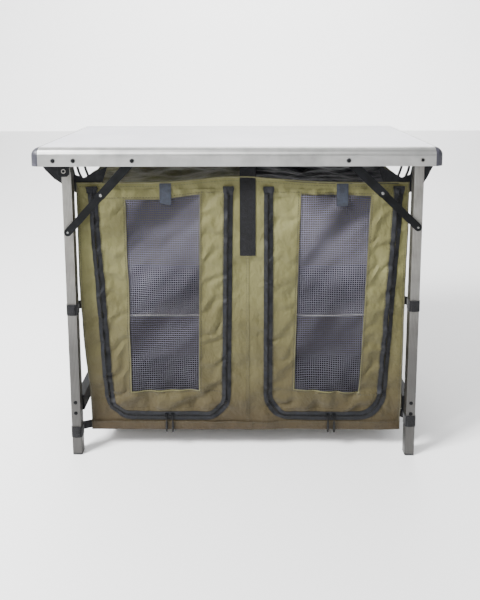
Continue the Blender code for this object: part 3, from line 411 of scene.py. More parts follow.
BOARD = MelamineBoard("white_melamine_board", "C2C2C8", "B9B9C1", 0.36)
RAIL_METAL = AnodisedAluminium("anodised_aluminium_rail", "B6B6B4", "9A9A98", 0.36, 1.0)
END_RAIL_METAL = AnodisedAluminium("anodised_aluminium_end_rail", "8E8E8C", "7C7C7A", 0.40, 1.0, run=Axis.Y)
LEG_METAL = AnodisedAluminium(
    "anodised_aluminium_tube", "83827E", "6B6864", 0.42, 1.0, dust=LEG_PAINTED_SHADE, run=Axis.Z, groove_pitch=3.6
)
BLACK_STEEL = PowderCoat("black_epoxy_on_steel", "040506", "101114", 0.50, ior=1.22)
ZINC = PlatedSteel("zinc_plated_steel", "7E7E7C", "626265", 0.45, 1.0)
STRIP_PLASTIC = MouldedPlastic("extruded_pvc_strip", "B0B0B4", "BEBEC2", 0.5, ior=1.53)
CAP_PLASTIC = MouldedPlastic("moulded_abs_dark_grey", "2B2B33", "4E4D58", 0.45)
FOOT_PLASTIC = MouldedPlastic("moulded_polypropylene_black", "121214", "2A2A2C", 0.5, ior=1.49)
PULL_PLASTIC = MouldedPlastic("moulded_rubber_black", "070708", "121214", 0.6, ior=1.35)
ZIP_COIL = MouldedPlastic("moulded_nylon_zip_coil", "060607", "101012", 0.45, ior=1.35)
OLIVE = CoatedPolyester("coated_polyester_olive", "4E4B2B", "64623D", 0.68, ior=1.35, sheen=0.08, dust=LOW_DUST_AND_SHADE)
OLIVE_PIPING = CoatedPolyester("coated_polyester_piping", "4E4B30", "5F5D3E", 0.6, ior=1.4, drawn_thread=2.0)
DARK_PIPING = CoatedPolyester("coated_polyester_dark_piping", "2A281A", "3F3C28", 0.6, drawn_thread=2.0)
GREY_LINING = CoatedPolyester("coated_polyester_grey_lining", "55535A", "63616A", 0.7)
BLACK_CLOTH = CoatedPolyester("coated_polyester_black", "08090B", "121318", 0.62, ior=1.3, sheen=0.03)
BINDING = CoatedPolyester("polyester_binding_tape", "45422B", "54512F", 0.62, ior=1.4, drawn_thread=1.8)
NET = NetThread("knitted_polyester_net", "6E6C78", "3E3C45", 0.75, ior=1.35, dust=NET_PAINTED_SHADE)
WEBBING = WovenTape("polypropylene_webbing", "08080A", "131317", 0.7, ior=1.3)
HOOK_TAPE = WovenTape("nylon_hook_and_loop", "08080A", "121216", 0.9, ior=1.3, sheen=0.125, fuzz=0.5)
ZIP_TAPE = WovenTape("polyester_zip_tape", "07080A", "15171E", 0.55, ior=1.3, rib=1.8)
TIE_CLOTH = WovenTape("polyester_tie_tape", "1A1E27", "262C39", 0.65, ior=1.4)
THREAD = WovenTape("polyester_sewing_thread", "232116", "3A3726", 0.7, rib=1.0)
SHELF_EDGE = WovenTape("polyester_edge_tape", "A9A7A2", "BFBDB8", 0.7, ior=1.4)
SHELF = LinedBoard("lined_shelf_board", "5C5A5E", "504D50", 0.75)
PAPER = StudioPaper("pale_studio_paper", "F4F4F4", "F4F4F4", 0.9)
BACKDROP = LitPaper("lit_studio_backdrop", "F4F4F4", "F4F4F4", 0.9)


# Meshes


def unit(ways: Any) -> np.ndarray:
    """The ways, each made one metre long."""
    ways = np.asarray(ways, float)
    return ways / np.linalg.norm(ways, axis=-1, keepdims=True)


@dataclass
class Mesh:
    """Points and faces that are gathered before they become one piece."""

    points: list[Any] = field(default_factory=list)
    faces: list[Any] = field(default_factory=list)

    def add(self, points: Any, faces: Any) -> None:
        """Adds points, and faces that count from the first of them."""
        start = len(self.points)
        self.points += [tuple(map(float, point)) for point in points]
        self.faces += [tuple(start + int(k) for k in face) for face in faces]

    def piece(
        self, name: str, finish: Finish, slot: str, body: str = "tabletop", replaces: tuple[str, ...] = ()
    ) -> bpy.types.Object:
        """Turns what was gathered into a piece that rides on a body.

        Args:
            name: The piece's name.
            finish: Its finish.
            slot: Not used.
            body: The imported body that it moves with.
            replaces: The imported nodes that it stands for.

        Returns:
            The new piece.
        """
        mesh = bpy.data.meshes.new(name)
        mesh.from_pydata(self.points, [], self.faces)
        mesh.validate()
        mesh.shade_smooth()
        mesh.set_sharp_from_angle(angle=math.radians(40))
        piece = bpy.data.objects.new(name, mesh)
        bpy.context.scene.collection.objects.link(piece)
        finish.dress(piece)
        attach(piece, body)
        if replaces:
            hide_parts(*replaces)
        log.info("%s: %d faces, on %s", name, len(mesh.polygons), body)
        return piece

    def skin(self, rings: Any) -> None:
        """Adds a closed solid through rings of points that all have the same count."""
        rings = np.asarray(rings, float)
        count, sides = rings.shape[:2]
        last = (count - 1) * sides
        faces = [tuple(range(sides))[::-1], tuple(range(last, last + sides))]
        for start in range(0, last, sides):
            for k in range(sides):
                a, b = start + k, start + (k + 1) % sides
                faces.append((a, b, b + sides, a + sides))
        self.add(rings.reshape(-1, 3), faces)

    def round(self, middles: Any, radii: Any, across: Any, third: Any, sides: int) -> None:
        """Adds a round solid, from the middle of each ring, its radius and two ways across it."""
        turns = 2 * math.pi * np.arange(sides)[:, None] / sides
        spokes = np.cos(turns) * np.asarray(across)[..., None, :] + np.sin(turns) * np.asarray(third)[..., None, :]
        self.skin(np.asarray(middles)[:, None] + np.reshape(radii, (-1, 1, 1)) * spokes)

    def tube(self, line: Any, radius: float, sides: int = 8) -> None:
        """Adds a round cord along a line of points, with closed ends."""
        along = unit(np.gradient(np.asarray(line, float), axis=0))
        helper = (0.0, 1.0, 0.0) if abs(along[:, 1]).max() < 0.9 else (1.0, 0.0, 0.0)
        across = unit(np.cross(along, helper))
        self.round(line, radius, across, np.cross(along, across), sides)

    def turned(self, centre: Any, profile: Any, out: Any, sides: int = 20) -> None:
        """Adds a solid turned about a line, from radii and heights along the way out."""
        way = Vector(out).normalized()
        across = way.orthogonal().normalized()
        radii, heights = np.array(profile).T
        middles = np.array(centre) + heights[:, None] * np.array(way)
        self.round(middles, radii, across, way.cross(across), sides)

    def block(self, centre: Any, half: Triple, ways: Any, taper: float) -> None:
        """Adds a small block with a narrower far face, such as a zip's tooth.

        Args:
            centre: The middle of its near face.
            half: Half its size along and across, and its whole height.
            ways: Three unit vectors: along, across and out.
            taper: The far face's size as a share of the near one's.
        """
        along, across, out = ways
        corners = [u * half[0] * along + v * half[1] * across for u, v in ((-1, -1), (1, -1), (1, 1), (-1, 1))]
        self.skin([[centre + corner for corner in corners], [centre + taper * c + half[2] * out for c in corners]])

    def ribbon(self, line: Any, across: Any, thickness: float) -> None:
        """Adds a flat strap along a line.

        Args:
            line: The middle of its inner face, point by point.
            across: Half its width, as a vector.
            thickness: How thick it is, to the side of the line that along crossed with across gives.
        """
        line, across = np.asarray(line, float), np.array(across)
        out = thickness * unit(np.cross(np.gradient(line, axis=0), across))
        self.skin(np.stack([line - across, line + across, line + across + out, line - across + out], 1))

    def blocks(self, places: np.ndarray, half: Triple, sink: float, taper: float) -> None:
        """Adds a row of small blocks on the front, set back into it by the sink."""
        out = np.array([0.0, -1.0, 0.0])
        for centre, way in zip(places, unit(np.gradient(places, axis=0))):
            self.block(centre - sink * out, half, (way, unit(np.cross(way, out)), out), taper)


def within(shape: Shape, places: np.ndarray) -> np.ndarray:
    """Which of the places lie inside a closed shape."""
    found = np.zeros(len(places), bool)
    u, v = places[:, 0], places[:, 1]
    for (u0, v0), (u1, v1) in zip(shape, shape[1:] + shape[:1]):
        if v0 != v1:
            crosses = (v0 > v) != (v1 > v)
            found ^= crosses & (u < (u1 - u0) * (v - v0) / (v1 - v0) + u0)
    return found


def spaced(shape: Shape, step: float) -> Shape:
    """A closed shape's outline with a point at least every step."""
    points = []
    for (u0, v0), (u1, v1) in zip(shape, shape[1:] + shape[:1]):
        count = max(1, math.ceil(math.hypot(u1 - u0, v1 - v0) / step))
        points += [(u0 + (u1 - u0) * k / count, v0 + (v1 - v0) * k / count) for k in range(count)]
    return points


def along_line(line: Any, step: float) -> np.ndarray:
    """Points at even steps along an open line of points."""
    line = np.asarray(line, float)
    lengths = np.r_[0.0, np.cumsum(np.linalg.norm(np.diff(line, axis=0), axis=1))]
    wanted = np.linspace(0.0, lengths[-1], max(2, round(lengths[-1] / step) + 1))
    return np.stack([np.interp(wanted, lengths, line[:, k]) for k in range(line.shape[1])], 1)


def rectangle(low: float, high: float, bottom: float, top: float) -> Shape:
    """A rectangle's corners."""
    return [(low, bottom), (high, bottom), (high, top), (low, top)]


@dataclass
class CutCloth:
    """A flat piece of cloth cut to a shape, with openings, ready to be hung."""

    outline: Shape
    step: float
    openings: list[Shape] = field(default_factory=list)

    def covers(self, places: np.ndarray) -> np.ndarray:
        """Which places have cloth."""
        found = within(self.outline, places)
        for opening in self.openings:
            found &= ~within(opening, places)
        return found

    def cut(self) -> tuple[np.ndarray, list[tuple[int, ...]]]:
        """Cuts the cloth into small triangles.

        Returns:
            The flat points and the triangles between them.
        """
        loops = [spaced(shape, self.step) for shape in (self.outline, *self.openings)]
        edges = []
        for loop in loops:
            first, count = len(edges), len(loop)
            edges += [(first + k, first + (k + 1) % count) for k in range(count)]
        border = np.array([point for loop in loops for point in loop])
        low, high = border.min(0), border.max(0)
        grid = []
        for number, v in enumerate(np.arange(low[1] + self.step / 2, high[1], self.step * 0.87)):
            start = low[0] + self.step * (0.25 if number % 2 else 0.75)
            grid += [(u, v) for u in np.arange(start, high[0], self.step)]
        inner = np.array(grid).reshape(-1, 2)
        inner = inner[self.covers(inner)]
        nearest = np.full(len(inner), np.inf)
        for point in border:
            nearest = np.minimum(nearest, ((inner - point) ** 2).sum(1))
        inner = inner[nearest > (0.45 * self.step) ** 2]
        places = [Vector(point) for point in np.vstack([border, inner])]
        points, _, faces, *_ = delaunay_2d_cdt(places, edges, [], 0, 1e-7, False)
        flat = np.array([tuple(point) for point in points])
        kept = self.covers(np.array([flat[list(face)].mean(0) for face in faces]))
        return flat, [tuple(face) for face, stays in zip(faces, kept) if stays]

    def hang(self, drape: Drape, depth: Triple, made: Mesh | None = None) -> Mesh:
        """Gives the cloth its place in the air and its thickness.

        Args:
            drape: Turns flat places into points in the model's frame, on the cloth's outer face.
            depth: The way from the outer face to the inner one, as long as the cloth is thick.
            made: The mesh that it goes into, if that isn't a new one.

        Returns:
            The mesh.
        """
        flat, faces = self.cut()
        outer = drape(flat[:, 0], flat[:, 1])
        count = len(flat)
        first = outer[list(faces[0])]
        if np.dot(np.cross(first[1] - first[0], first[2] - first[0]), depth) > 0:
            faces = [face[::-1] for face in faces]
        sides = {(face[k], face[(k + 1) % 3]) for face in faces for k in range(3)}
        rim = [(b, a, a + count, b + count) for a, b in sides if (b, a) not in sides]
        inner = [tuple(count + k for k in face[::-1]) for face in faces]
        made = made or Mesh()
        made.add(np.vstack([outer, outer + np.array(depth)]), faces + inner + rim)
        return made

    def hang_sheet(
        self,
        name: str,
        finish: Finish,
        slot: str,
        drape: Drape,
        depth: Triple,
        replaces: tuple[str, ...] = (),
    ) -> bpy.types.Object:
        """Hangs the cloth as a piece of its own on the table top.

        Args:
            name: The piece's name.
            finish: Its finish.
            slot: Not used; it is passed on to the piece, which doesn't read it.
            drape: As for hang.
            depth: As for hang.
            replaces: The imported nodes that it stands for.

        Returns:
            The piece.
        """
        piece = self.hang(drape, depth).piece(name, finish, slot, replaces=replaces)
        width, length = np.ptp(np.array(self.outline), axis=0)
        return piece


@dataclass(frozen=True)
class Crumple:
    """A smooth uneven relief, the same at each run: the sum of slow waves that run in all ways."""

    seed: int
    size: float
    stretch: Point = (1.0, 1.0)
    waves: int = 9

    def at(self, u: np.ndarray, v: np.ndarray) -> np.ndarray:
        """The relief at flat places, from about -1 to 1."""
        chance = np.random.default_rng(self.seed)
        total = np.zeros_like(u)
        for turn, phase, pitch in zip(*(chance.random(self.waves) for _ in range(3))):
            length = self.size * (0.7 + 0.8 * pitch)
            angle = math.pi * turn
            way = u * math.cos(angle) / self.stretch[0] + v * math.sin(angle) / self.stretch[1]
            total += np.sin(2 * math.pi * (way / length + phase))
        return total / math.sqrt(self.waves)


# The table top and the leg frames


def dress_nodes(finish: Finish, *names: str) -> None:
    """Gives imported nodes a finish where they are."""
    for name in names:
        finish.dress(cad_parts[name])
        log.info("%s: dressed in %s", name, finish.name)


def dome(radius: float, height: float) -> list[Point]:
    """The profile of a rivet's round head, from its foot to its crown."""
    turns = [math.radians(angle) for angle in (0, 25, 50, 72)]
    return [(radius, -0.0002)] + [(radius * math.cos(t), height * (0.25 + 0.75 * math.sin(t))) for t in turns]


@dataclass
class TableTop:
    """The white board in its aluminium rails, with a moulded cap on each corner."""

    half_length: float = 0.5
    half_depth: float = 0.25
    height: float = 0.81
    rail_width: float = 0.020
    strip_radius: float = 0.0011
    rivet_height: float = 0.779
    rivets: tuple[float, ...] = (-0.443, -0.394, -0.2515, 0.2705)
    head_radius: float = 0.0050
    head_height: float = 0.0021
    ring_radius: float = 0.0066

    def dress(self) -> None:
        """Finishes the board, the rails, the caps and the brackets."""
        dress_nodes(BOARD, "tabletop_panel")
        dress_nodes(RAIL_METAL, "front_rail", "back_rail")
        dress_nodes(END_RAIL_METAL, "left_end_rail", "right_end_rail")
        dress_nodes(CAP_PLASTIC, "left_front_cap", "left_back_cap", "right_front_cap", "right_back_cap")
        dress_nodes(BLACK_STEEL, "front_bracket", "back_bracket")

    def make_strip(self) -> None:
        """The thin grey strip that fills the joint between the board and the rails."""
        x = self.half_length - self.rail_width
        y = self.half_depth - self.rail_width
        z = self.height - self.strip_radius * 0.55
        strip = Mesh()
        for line in (((-x, -y), (x, -y)), ((-x, y), (x, y)), ((-x, -y), (-x, y)), ((x, -y), (x, y))):
            strip.tube(along_line([(*point, z) for point in line], 0.12), self.strip_radius, 6)
        strip.piece("board_edge_strip", STRIP_PLASTIC, "grey_plastic")

    def make_rivets(self) -> None:
        """The black heads along the long rails, each on a pale pressed ring."""
        heads, rings = Mesh(), Mesh()
        for face in Face:
            for x in self.rivets:
                centre, out = (x, face.value * self.half_depth, self.rivet_height), (0, face.value, 0)
                heads.turned(centre, dome(self.head_radius, self.head_height), out)
                rings.turned(centre, [(self.ring_radius, -0.0002), (self.ring_radius - 0.0006, 0.0005)], out)
        heads.piece("rail_rivet_heads", BLACK_STEEL, "black_steel")
        rings.piece("rail_rivet_rings", ZINC, "aluminium")

    def build(self) -> None:
        """Makes and dresses the whole table top."""
        self.dress()
        self.make_strip()
        self.make_rivets()


@dataclass
class LegFrame:
    """One pair of ribbed legs with its cross bar, its feet, the wraps on it and its two folding braces."""

    end: End
    leg_x: float
    pivot: Triple
    wrap_heights: Point
    elbow: Point
    leg_rivet: Point
    leg_y: float = 0.221
    tube: float = 0.025
    bar_rivets: Point = (0.1165, 0.1455)
    pivot_head: Point = (0.0042, 0.0018)
    bar_head: Point = (0.0049, 0.0009)
    brace_heads: tuple[Point, Point] = ((0.0036, 0.0011), (0.0029, 0.0011))
    wrap_width: float = 0.028
    wrap_thickness: float = 0.0011
    wrap_corner: float = 0.004
    upper_link_face: float = 0.2465
    lower_link_face: float = 0.240

    @property
    def name(self) -> str:
        """The frame's name."""
        return self.end.name.lower()

    def dress(self) -> None:
        """Finishes the legs, the feet, the cross bar and the brace links."""
        for face in Face:
            side = f"{self.name}_{face.name.lower()}"
            dress_nodes(LEG_METAL, f"{side}_leg")
            dress_nodes(FOOT_PLASTIC, f"{side}_foot")
            dress_nodes(BLACK_STEEL, f"{side}_upper_link", f"{side}_lower_link")
        dress_nodes(BLACK_STEEL, f"{self.name}_cross_bar")

    def make_rivets(self) -> None:
        """The pivots' heads and the bar's black heads on the legs, and the plated rivets on the braces."""
        pivots, bars = Mesh(), Mesh()
        x, reach, z = self.pivot
        for side in (-1, 1):
            pivots.turned((x, side * reach, z), dome(*self.pivot_head), (0, side, 0))
            for height in self.bar_rivets:
                centre = (self.leg_x, side * (self.leg_y + self.tube / 2), height)
                bars.turned(centre, dome(*self.bar_head), (0, side, 0), 16)
        pivots.piece(f"{self.name}_pivot_heads", BLACK_STEEL, "black_steel", f"{self.name}_frame")
        bars.piece(f"{self.name}_bar_rivets", BLACK_STEEL, "black_steel", f"{self.name}_frame")
        upper = ("upper", self.elbow, self.upper_link_face, self.brace_heads[0])
        lower = ("lower", self.leg_rivet, self.lower_link_face, self.brace_heads[1])
        for face in Face:
            for level, (x, z), reach, shape in (upper, lower):
                head = Mesh()
                head.turned((x, face.value * reach, z), dome(*shape), (0, face.value, 0))
                brace = f"{self.name}_{face.name.lower()}_{level}"
                head.piece(f"{brace}_rivet", ZINC, "aluminium", f"{brace}_brace")

    def wrap_line(self, face: Face) -> list[Point]:
        """The way of a wrap round the tube, seen from above, with its end lapped over its start."""
        half = self.tube / 2 + 0.0004
        flat = half - self.wrap_corner
        reach = half + self.wrap_thickness + 0.0002
        points = [(-0.3 * half, half)]
        for u, v in ((1, 1), (1, -1), (-1, -1), (-1, 1)):
            for turn in (90, 45, 0) if u * v > 0 else (0, 45, 90):
                angle = math.radians(turn)
                across = flat + self.wrap_corner * math.cos(angle)
                points.append((u * across, v * (flat + self.wrap_corner * math.sin(angle))))
        points += [(-0.55 * half, half), (-0.2 * half, reach), (0.62 * half, reach)]
        return [(-self.end.value * u, face.value * v) for u, v in points]

    def make_wraps(self) -> None:
        """The hook-and-loop wraps that close round each leg, with the free end lapped on the outside."""
        for level, z in zip(("mid", "low"), self.wrap_heights):
            for face in Face:
                wrap = Mesh()
                line = [(self.leg_x + u, face.value * self.leg_y + v, z) for u, v in self.wrap_line(face)]
                half = face.value * -self.end.value * self.wrap_width / 2
                wrap.ribbon(line, (0, 0, half), -self.wrap_thickness)
                side = f"{self.name}_{face.name.lower()}_{level}"
                wrap.piece(f"{side}_wrap", HOOK_TAPE, "webbing", f"{self.name}_frame", (f"{side}_band",))

    def build(self) -> None:
        """Makes and dresses the whole frame."""
        self.dress()
        self.make_rivets()
        self.make_wraps()


# The cupboard's shape


@dataclass(frozen=True)
class DoorShape:
    """One door opening: its two sides lean, its bottom is level and its lower corners are round. Each side has its
    place at the bottom and its place at the top."""

    end: End
    left: Point
    right: Point
    slider_x: float
    tie_x: float
    window_corners: tuple[Point, ...]
    bottom: float = 0.0905
    top: float = 0.699
    corner: float = 0.060
    hem: float = 0.021
    turned_edge: float = 0.003

    @property
    def name(self) -> str:
        """The door's name."""
        return self.end.name.lower()

    def side(self, end: End, z: Any) -> Any:
        """One of the two leaning sides, as a straight line."""
        low, high = self.left if end is End.LEFT else self.right
        return low + (high - low) * ((z - self.bottom) / (self.top - self.bottom))

    def sides(self, z: Any) -> tuple[Any, Any]:
        """Both leaning sides."""
        return self.side(End.LEFT, z), self.side(End.RIGHT, z)

    def edge_at(self, end: End, inset: float, z: float) -> float:
        """One side at one height with its round corner, the shape drawn in by the inset."""
        radius = self.corner - inset
        below = min(max(radius + self.bottom + inset - z, 0.0), radius)
        return self.side(end, z) - end.value * (inset + radius - math.sqrt(radius**2 - below**2))

    def edge(self, end: End, inset: float, bottom: float, top: float) -> Shape:
        """One side's points between two levels, from below, close together where the corner is round."""
        radius = self.corner - inset
        arc = [self.bottom + inset + radius * (1 - math.cos(math.pi / 2 * k / 12)) for k in range(13)]
        heights = [bottom] + [z for z in arc if bottom + 1e-4 < z < top - 1e-4] + [top]
        return [(self.edge_at(end, inset, z), z) for z in heights]

    def outline(self, inset: float, bottom: float, top: float) -> Shape:
        """The door's shape between two levels."""
        return self.edge(End.RIGHT, inset, bottom, top) + self.edge(End.LEFT, inset, bottom, top)[::-1]

    def opening(self) -> Shape:
        """The hole in the front's cloth, whose edge is turned in under the zip's teeth."""
        return self.outline(self.turned_edge, self.bottom + self.turned_edge, self.top)

    def path(self, inset: float, top: float) -> Shape:
        """The zip's line from the top of one side, round the bottom, to the top of the other."""
        level = self.bottom + inset
        return self.edge(End.LEFT, inset, level, top)[::-1] + self.edge(End.RIGHT, inset, level, top)

    def band(self, outer: float, inner: float, top: float) -> Shape:
        """A U round three sides of the door, between two insets."""
        return self.path(outer, top) + self.path(inner, top)[::-1]

    def window(self, inset: float) -> Shape:
        """The window's corners, from the lower left round to the upper left, drawn in by the inset."""
        middle = np.mean(self.window_corners, axis=0)
        return [tuple(float(p + inset * np.sign(m - p)) for p, m in zip(c, middle)) for c in self.window_corners]

    def window_sides(self, z: Any) -> tuple[Any, Any]:
        """The window's left and right sides at one height."""
        (low_x, low_z), (high_x, _), (high_top_x, _), *_, (low_top_x, low_top_z) = self.window_corners
        share = (z - low_z) / (low_top_z - low_z)
        return low_x + (low_top_x - low_x) * share, high_x + (high_top_x - high_x) * share

    def on_strips(self, x: np.ndarray, z: np.ndarray) -> np.ndarray:
        """How far a place is on the door's cloth and off its window, from 0 to 1."""
        low, high = self.window_sides(z)
        bottom = self.window_corners[0][1]
        off = np.maximum(np.maximum(low - x, x - high), np.maximum(bottom - z, z - 0.686))
        left, right = self.sides(z)
        return np.clip(off / 0.012, 0, 1) * ((x > left) & (x < right) & (z > self.bottom) & (z < self.top))


LEFT_WINDOW = ((-0.2780, 0.1570), (-0.0990, 0.1605), (-0.0920, 0.6860), (-0.1880, 0.6735), (-0.2815, 0.6730))
RIGHT_WINDOW = ((0.1470, 0.1670), (0.3190, 0.1510), (0.3375, 0.6820), (0.1595, 0.6870))
LEFT_DOOR = DoorShape(End.LEFT, (-0.33478, -0.36283), (-0.0295, -0.0205), -0.1781, -0.179, LEFT_WINDOW)
RIGHT_DOOR = DoorShape(End.RIGHT, (0.080, 0.080), (0.37529, 0.40589), 0.24565, 0.265, RIGHT_WINDOW)
DOORS = (LEFT_DOOR, RIGHT_DOOR)


def hump(distance: Any, width: float, power: int = 2) -> Any:
    """A smooth hump, one high and fading at the width."""
    return np.exp(-((distance / width) ** power))


def wave(way: Any, length: float, drift: Any) -> Any:
    """A wave along a way, pushed about by a drift."""
    return np.sin(2 * math.pi * way / length + drift)


@dataclass(frozen=True)
class CupboardShape:
    """The hanging cupboard's sizes, and the way that its cloth lies in soft folds."""

    front: float = 0.200
    bottom: float = 0.052
    top: float = 0.7135
    rise: float = 0.016
    rise_width: float = 0.13
    rise_centre: float = 0.010
    left_edge: float = -0.404
    left_gap: Point = (0.019, 0.0005)
    left_lean: Point = (0.08, 0.46)
    right_edge: float = 0.433
    right_gap: Point = (0.0055, 0.0005)
    divider_x: float = 0.0275
    cloth: float = 0.0012
    slow: Crumple = Crumple(4, 0.20)
    cross: Crumple = Crumple(11, 0.075, (2.2, 0.8))
    slack: Crumple = Crumple(23, 0.085, (0.8, 1.5))
    fine: Crumple = Crumple(31, 0.050, (1.5, 1.0))
    pucker_height: float = 0.0030
    pucker_length: float = 0.058
    low_pucker_length: float = 0.062
    top_pucker_length: float = 0.037
    pull_height: float = 0.0020
    pull_length: float = 0.049
    pull_reach: float = 0.030
    net_wave_height: float = 0.0020
    net_wave_length: float = 0.105
    front_limits: Point = (-0.009, 0.0064)
    back_limits: Point = (-0.007, 0.0055)

    def wall(self, end: End, z: Any) -> Any:
        """A side wall's outer face. The left one goes in towards the floor in a curve, the right one evenly."""
        if end is End.LEFT:
            low, high = self.left_lean
            share = np.clip((np.asarray(z, float) - low) / (high - low), 0, 1)
            share = share * share * (3 - 2 * share)
            return self.left_edge + self.left_gap[0] + (self.left_gap[1] - self.left_gap[0]) * share
        share = (z - self.bottom) / (self.top - self.bottom)
        return self.right_edge - self.right_gap[0] - (self.right_gap[1] - self.right_gap[0]) * share

    def span(self, z: float, inset: float = 0.0) -> Point:
        """Where the side walls are at a height, drawn in by the inset."""
        return float(self.wall(End.LEFT, z)) + inset, float(self.wall(End.RIGHT, z)) - inset

    def top_edge(self, x: Any) -> Any:
        """The upper edge, which the centre strap pulls up in the middle."""
        return self.top + self.rise * hump(x - self.rise_centre, self.rise_width)

    def outline(self) -> Shape:
        """The front's shape: leaning sides, a flat bottom and the curved upper edge."""
        low, high = self.span(self.bottom)
        xs = np.linspace(*self.span(self.top)[::-1], 41)
        side = [(float(self.wall(End.LEFT, z)), float(z)) for z in np.linspace(self.top, self.bottom, 24)[1:-1]]
        return [(low, self.bottom), (high, self.bottom)] + [(float(x), float(self.top_edge(x))) for x in xs] + side

    def ridges(self, x: np.ndarray, z: np.ndarray) -> np.ndarray:
        """The ridges in and round the doors: those that the sewn zips and windows draw up in the strips of cloth,
        slanting up to the right, short ones outside the zips, and the nets' long slack waves."""
        total = np.zeros_like(x)
        drift, outer_drift = 1.9 * self.fine.at(x, z), 2.0 * self.fine.at(x + 5, z)
        for door in DOORS:
            strips = door.on_strips(x, z)
            left, right = door.sides(z)
            slant = np.where(x < (left + right) / 2, 0.35, 0.85)
            puckers = strips * wave(z - slant * x, self.pucker_length, drift) * (z > 0.15)
            low_down = 1.7 * hump(z - 0.125, 0.032) * strips
            puckers += low_down * wave(0.87 * z - 0.5 * x, self.low_pucker_length, 0.7 * drift)
            at_top = 0.9 * hump(z - 0.694, 0.012) * (x > left) * (x < right)
            puckers += at_top * wave(x, self.top_pucker_length, drift)
            beside = hump(x - left, self.pull_reach) + hump(x - right, self.pull_reach)
            outside = beside * ((x < left) | (x > right)) * (z > door.bottom)
            pulls = outside * wave(z + 0.3 * x, self.pull_length, outer_drift)
            low, high = door.window_sides(z)
            inside = np.clip(np.minimum(x - low, high - x) / 0.03, 0, 1) * (z > 0.15) * (z < 0.69)
            waves = inside * wave(0.8 * z - 0.6 * x, self.net_wave_length, 1.2 * self.slow.at(x, z))
            total += self.pucker_height * puckers + self.pull_height * pulls + self.net_wave_height * waves
        return total

    def quiet(self, x: np.ndarray, z: np.ndarray) -> np.ndarray:
        """How much of the folds there is: little where the sliders and pulls run and where straps hold the cloth."""
        calm = np.ones_like(x)
        for door in DOORS:
            calm *= 1 - hump(x - door.slider_x, 0.032, 4) * hump(z - 0.075, 0.040, 4)
            calm *= 1 - 0.85 * hump(x - door.tie_x, 0.024, 4) * hump(z - 0.69, 0.045, 4)
            calm *= 1 - 0.9 * hump(x - door.slider_x, 0.11, 8) * hump(z - door.bottom + 0.014, 0.030, 4)
        return calm * (1 - 0.8 * hump(x - self.divider_x, 0.03) * (z > 0.52))

    def relief(self, face: Face, x: np.ndarray, z: np.ndarray) -> np.ndarray:
        """How far the front's or the back's cloth stands out from its plane."""
        if face is Face.FRONT:
            relief = 0.0034 * self.slow.at(x, z) + 0.0024 * self.cross.at(x, z) + self.ridges(x, z)
            relief += (0.0042 * hump(z - 0.13, 0.07) + 0.0016 * hump(z - self.top, 0.05)) * self.slack.at(x, z)
            edge = 0.35 + 0.65 * np.clip((z - self.bottom) / 0.03, 0, 1)
            return np.clip(relief * edge * self.quiet(x, z), *self.front_limits)
        relief = 0.0040 * self.slow.at(x + 3, z) + 0.0026 * self.cross.at(x + 3, z)
        relief += 0.0036 * hump(z - 0.08, 0.08) * self.slack.at(x + 3, z)
        relief *= np.clip((z - self.bottom) / 0.03, 0.1, 1) * np.clip((self.top - z) / 0.02, 0.1, 1)
        for end in End:
            relief *= np.clip(end.value * (self.wall(end, z) - x) / 0.03, 0.05, 1)
        return np.clip(relief, *self.back_limits)

    def lie(self, face: Face, x: np.ndarray, z: np.ndarray, proud: float = 0.0) -> np.ndarray:
        """Points on the front's or the back's cloth, or a little proud of it."""
        return np.stack([x, face.value * (self.front + self.relief(face, x, z) + proud), z], 1)

    def side_place(self, end: End, y: np.ndarray, z: np.ndarray) -> np.ndarray:
        """Points on a side wall's cloth, which folds inwards only, clear of the cross bar."""
        folds = 0.45 * self.slow.at(y + 7 * end.value, z) + 0.35 * self.cross.at(z, y + 5 * end.value)
        folds += 0.4 * hump(z - 0.08, 0.08) * self.slack.at(y, z + 2 * end.value)
        inwards = 0.0040 + np.clip(0.0048 * folds, -0.0038, 0.0058)
        inwards *= 1 - np.exp(-((np.abs(y) - self.front) / 0.012) ** 2)
        return np.stack([self.wall(end, z) - end.value * inwards, y, z], 1)


CUPBOARD = CupboardShape()
# A stitch: half its length and width, and its height. Real ones are 3 mm long; 4.5 mm are drawn so that they show
STITCH = (0.0023, 0.0006, 0.0007)
STITCH_PITCH = 0.007


def gather(
    piece: bpy.types.Object, joint: str = "right_leg_fold"
) -> bpy.types.Object:
    """Gives a cloth piece a mesh of its own.

    Args:
        piece: The piece, with its final mesh.
        joint: Not used.

    Returns:
        The piece.
    """
    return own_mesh(piece)


def on_front(proud: float) -> Drape:
    """The way that a trim lies on the front's cloth."""
    return lambda x, z: CUPBOARD.lie(Face.FRONT, x, z, proud)


def sew(made: Mesh, line: Any, proud: float) -> None:
    """Adds a row of stitches along a line of the front."""
    laid = on_front(proud)(*along_line(line, 0.006).T)
    made.blocks(along_line(laid, STITCH_PITCH), STITCH, 0.0002, 0.7)


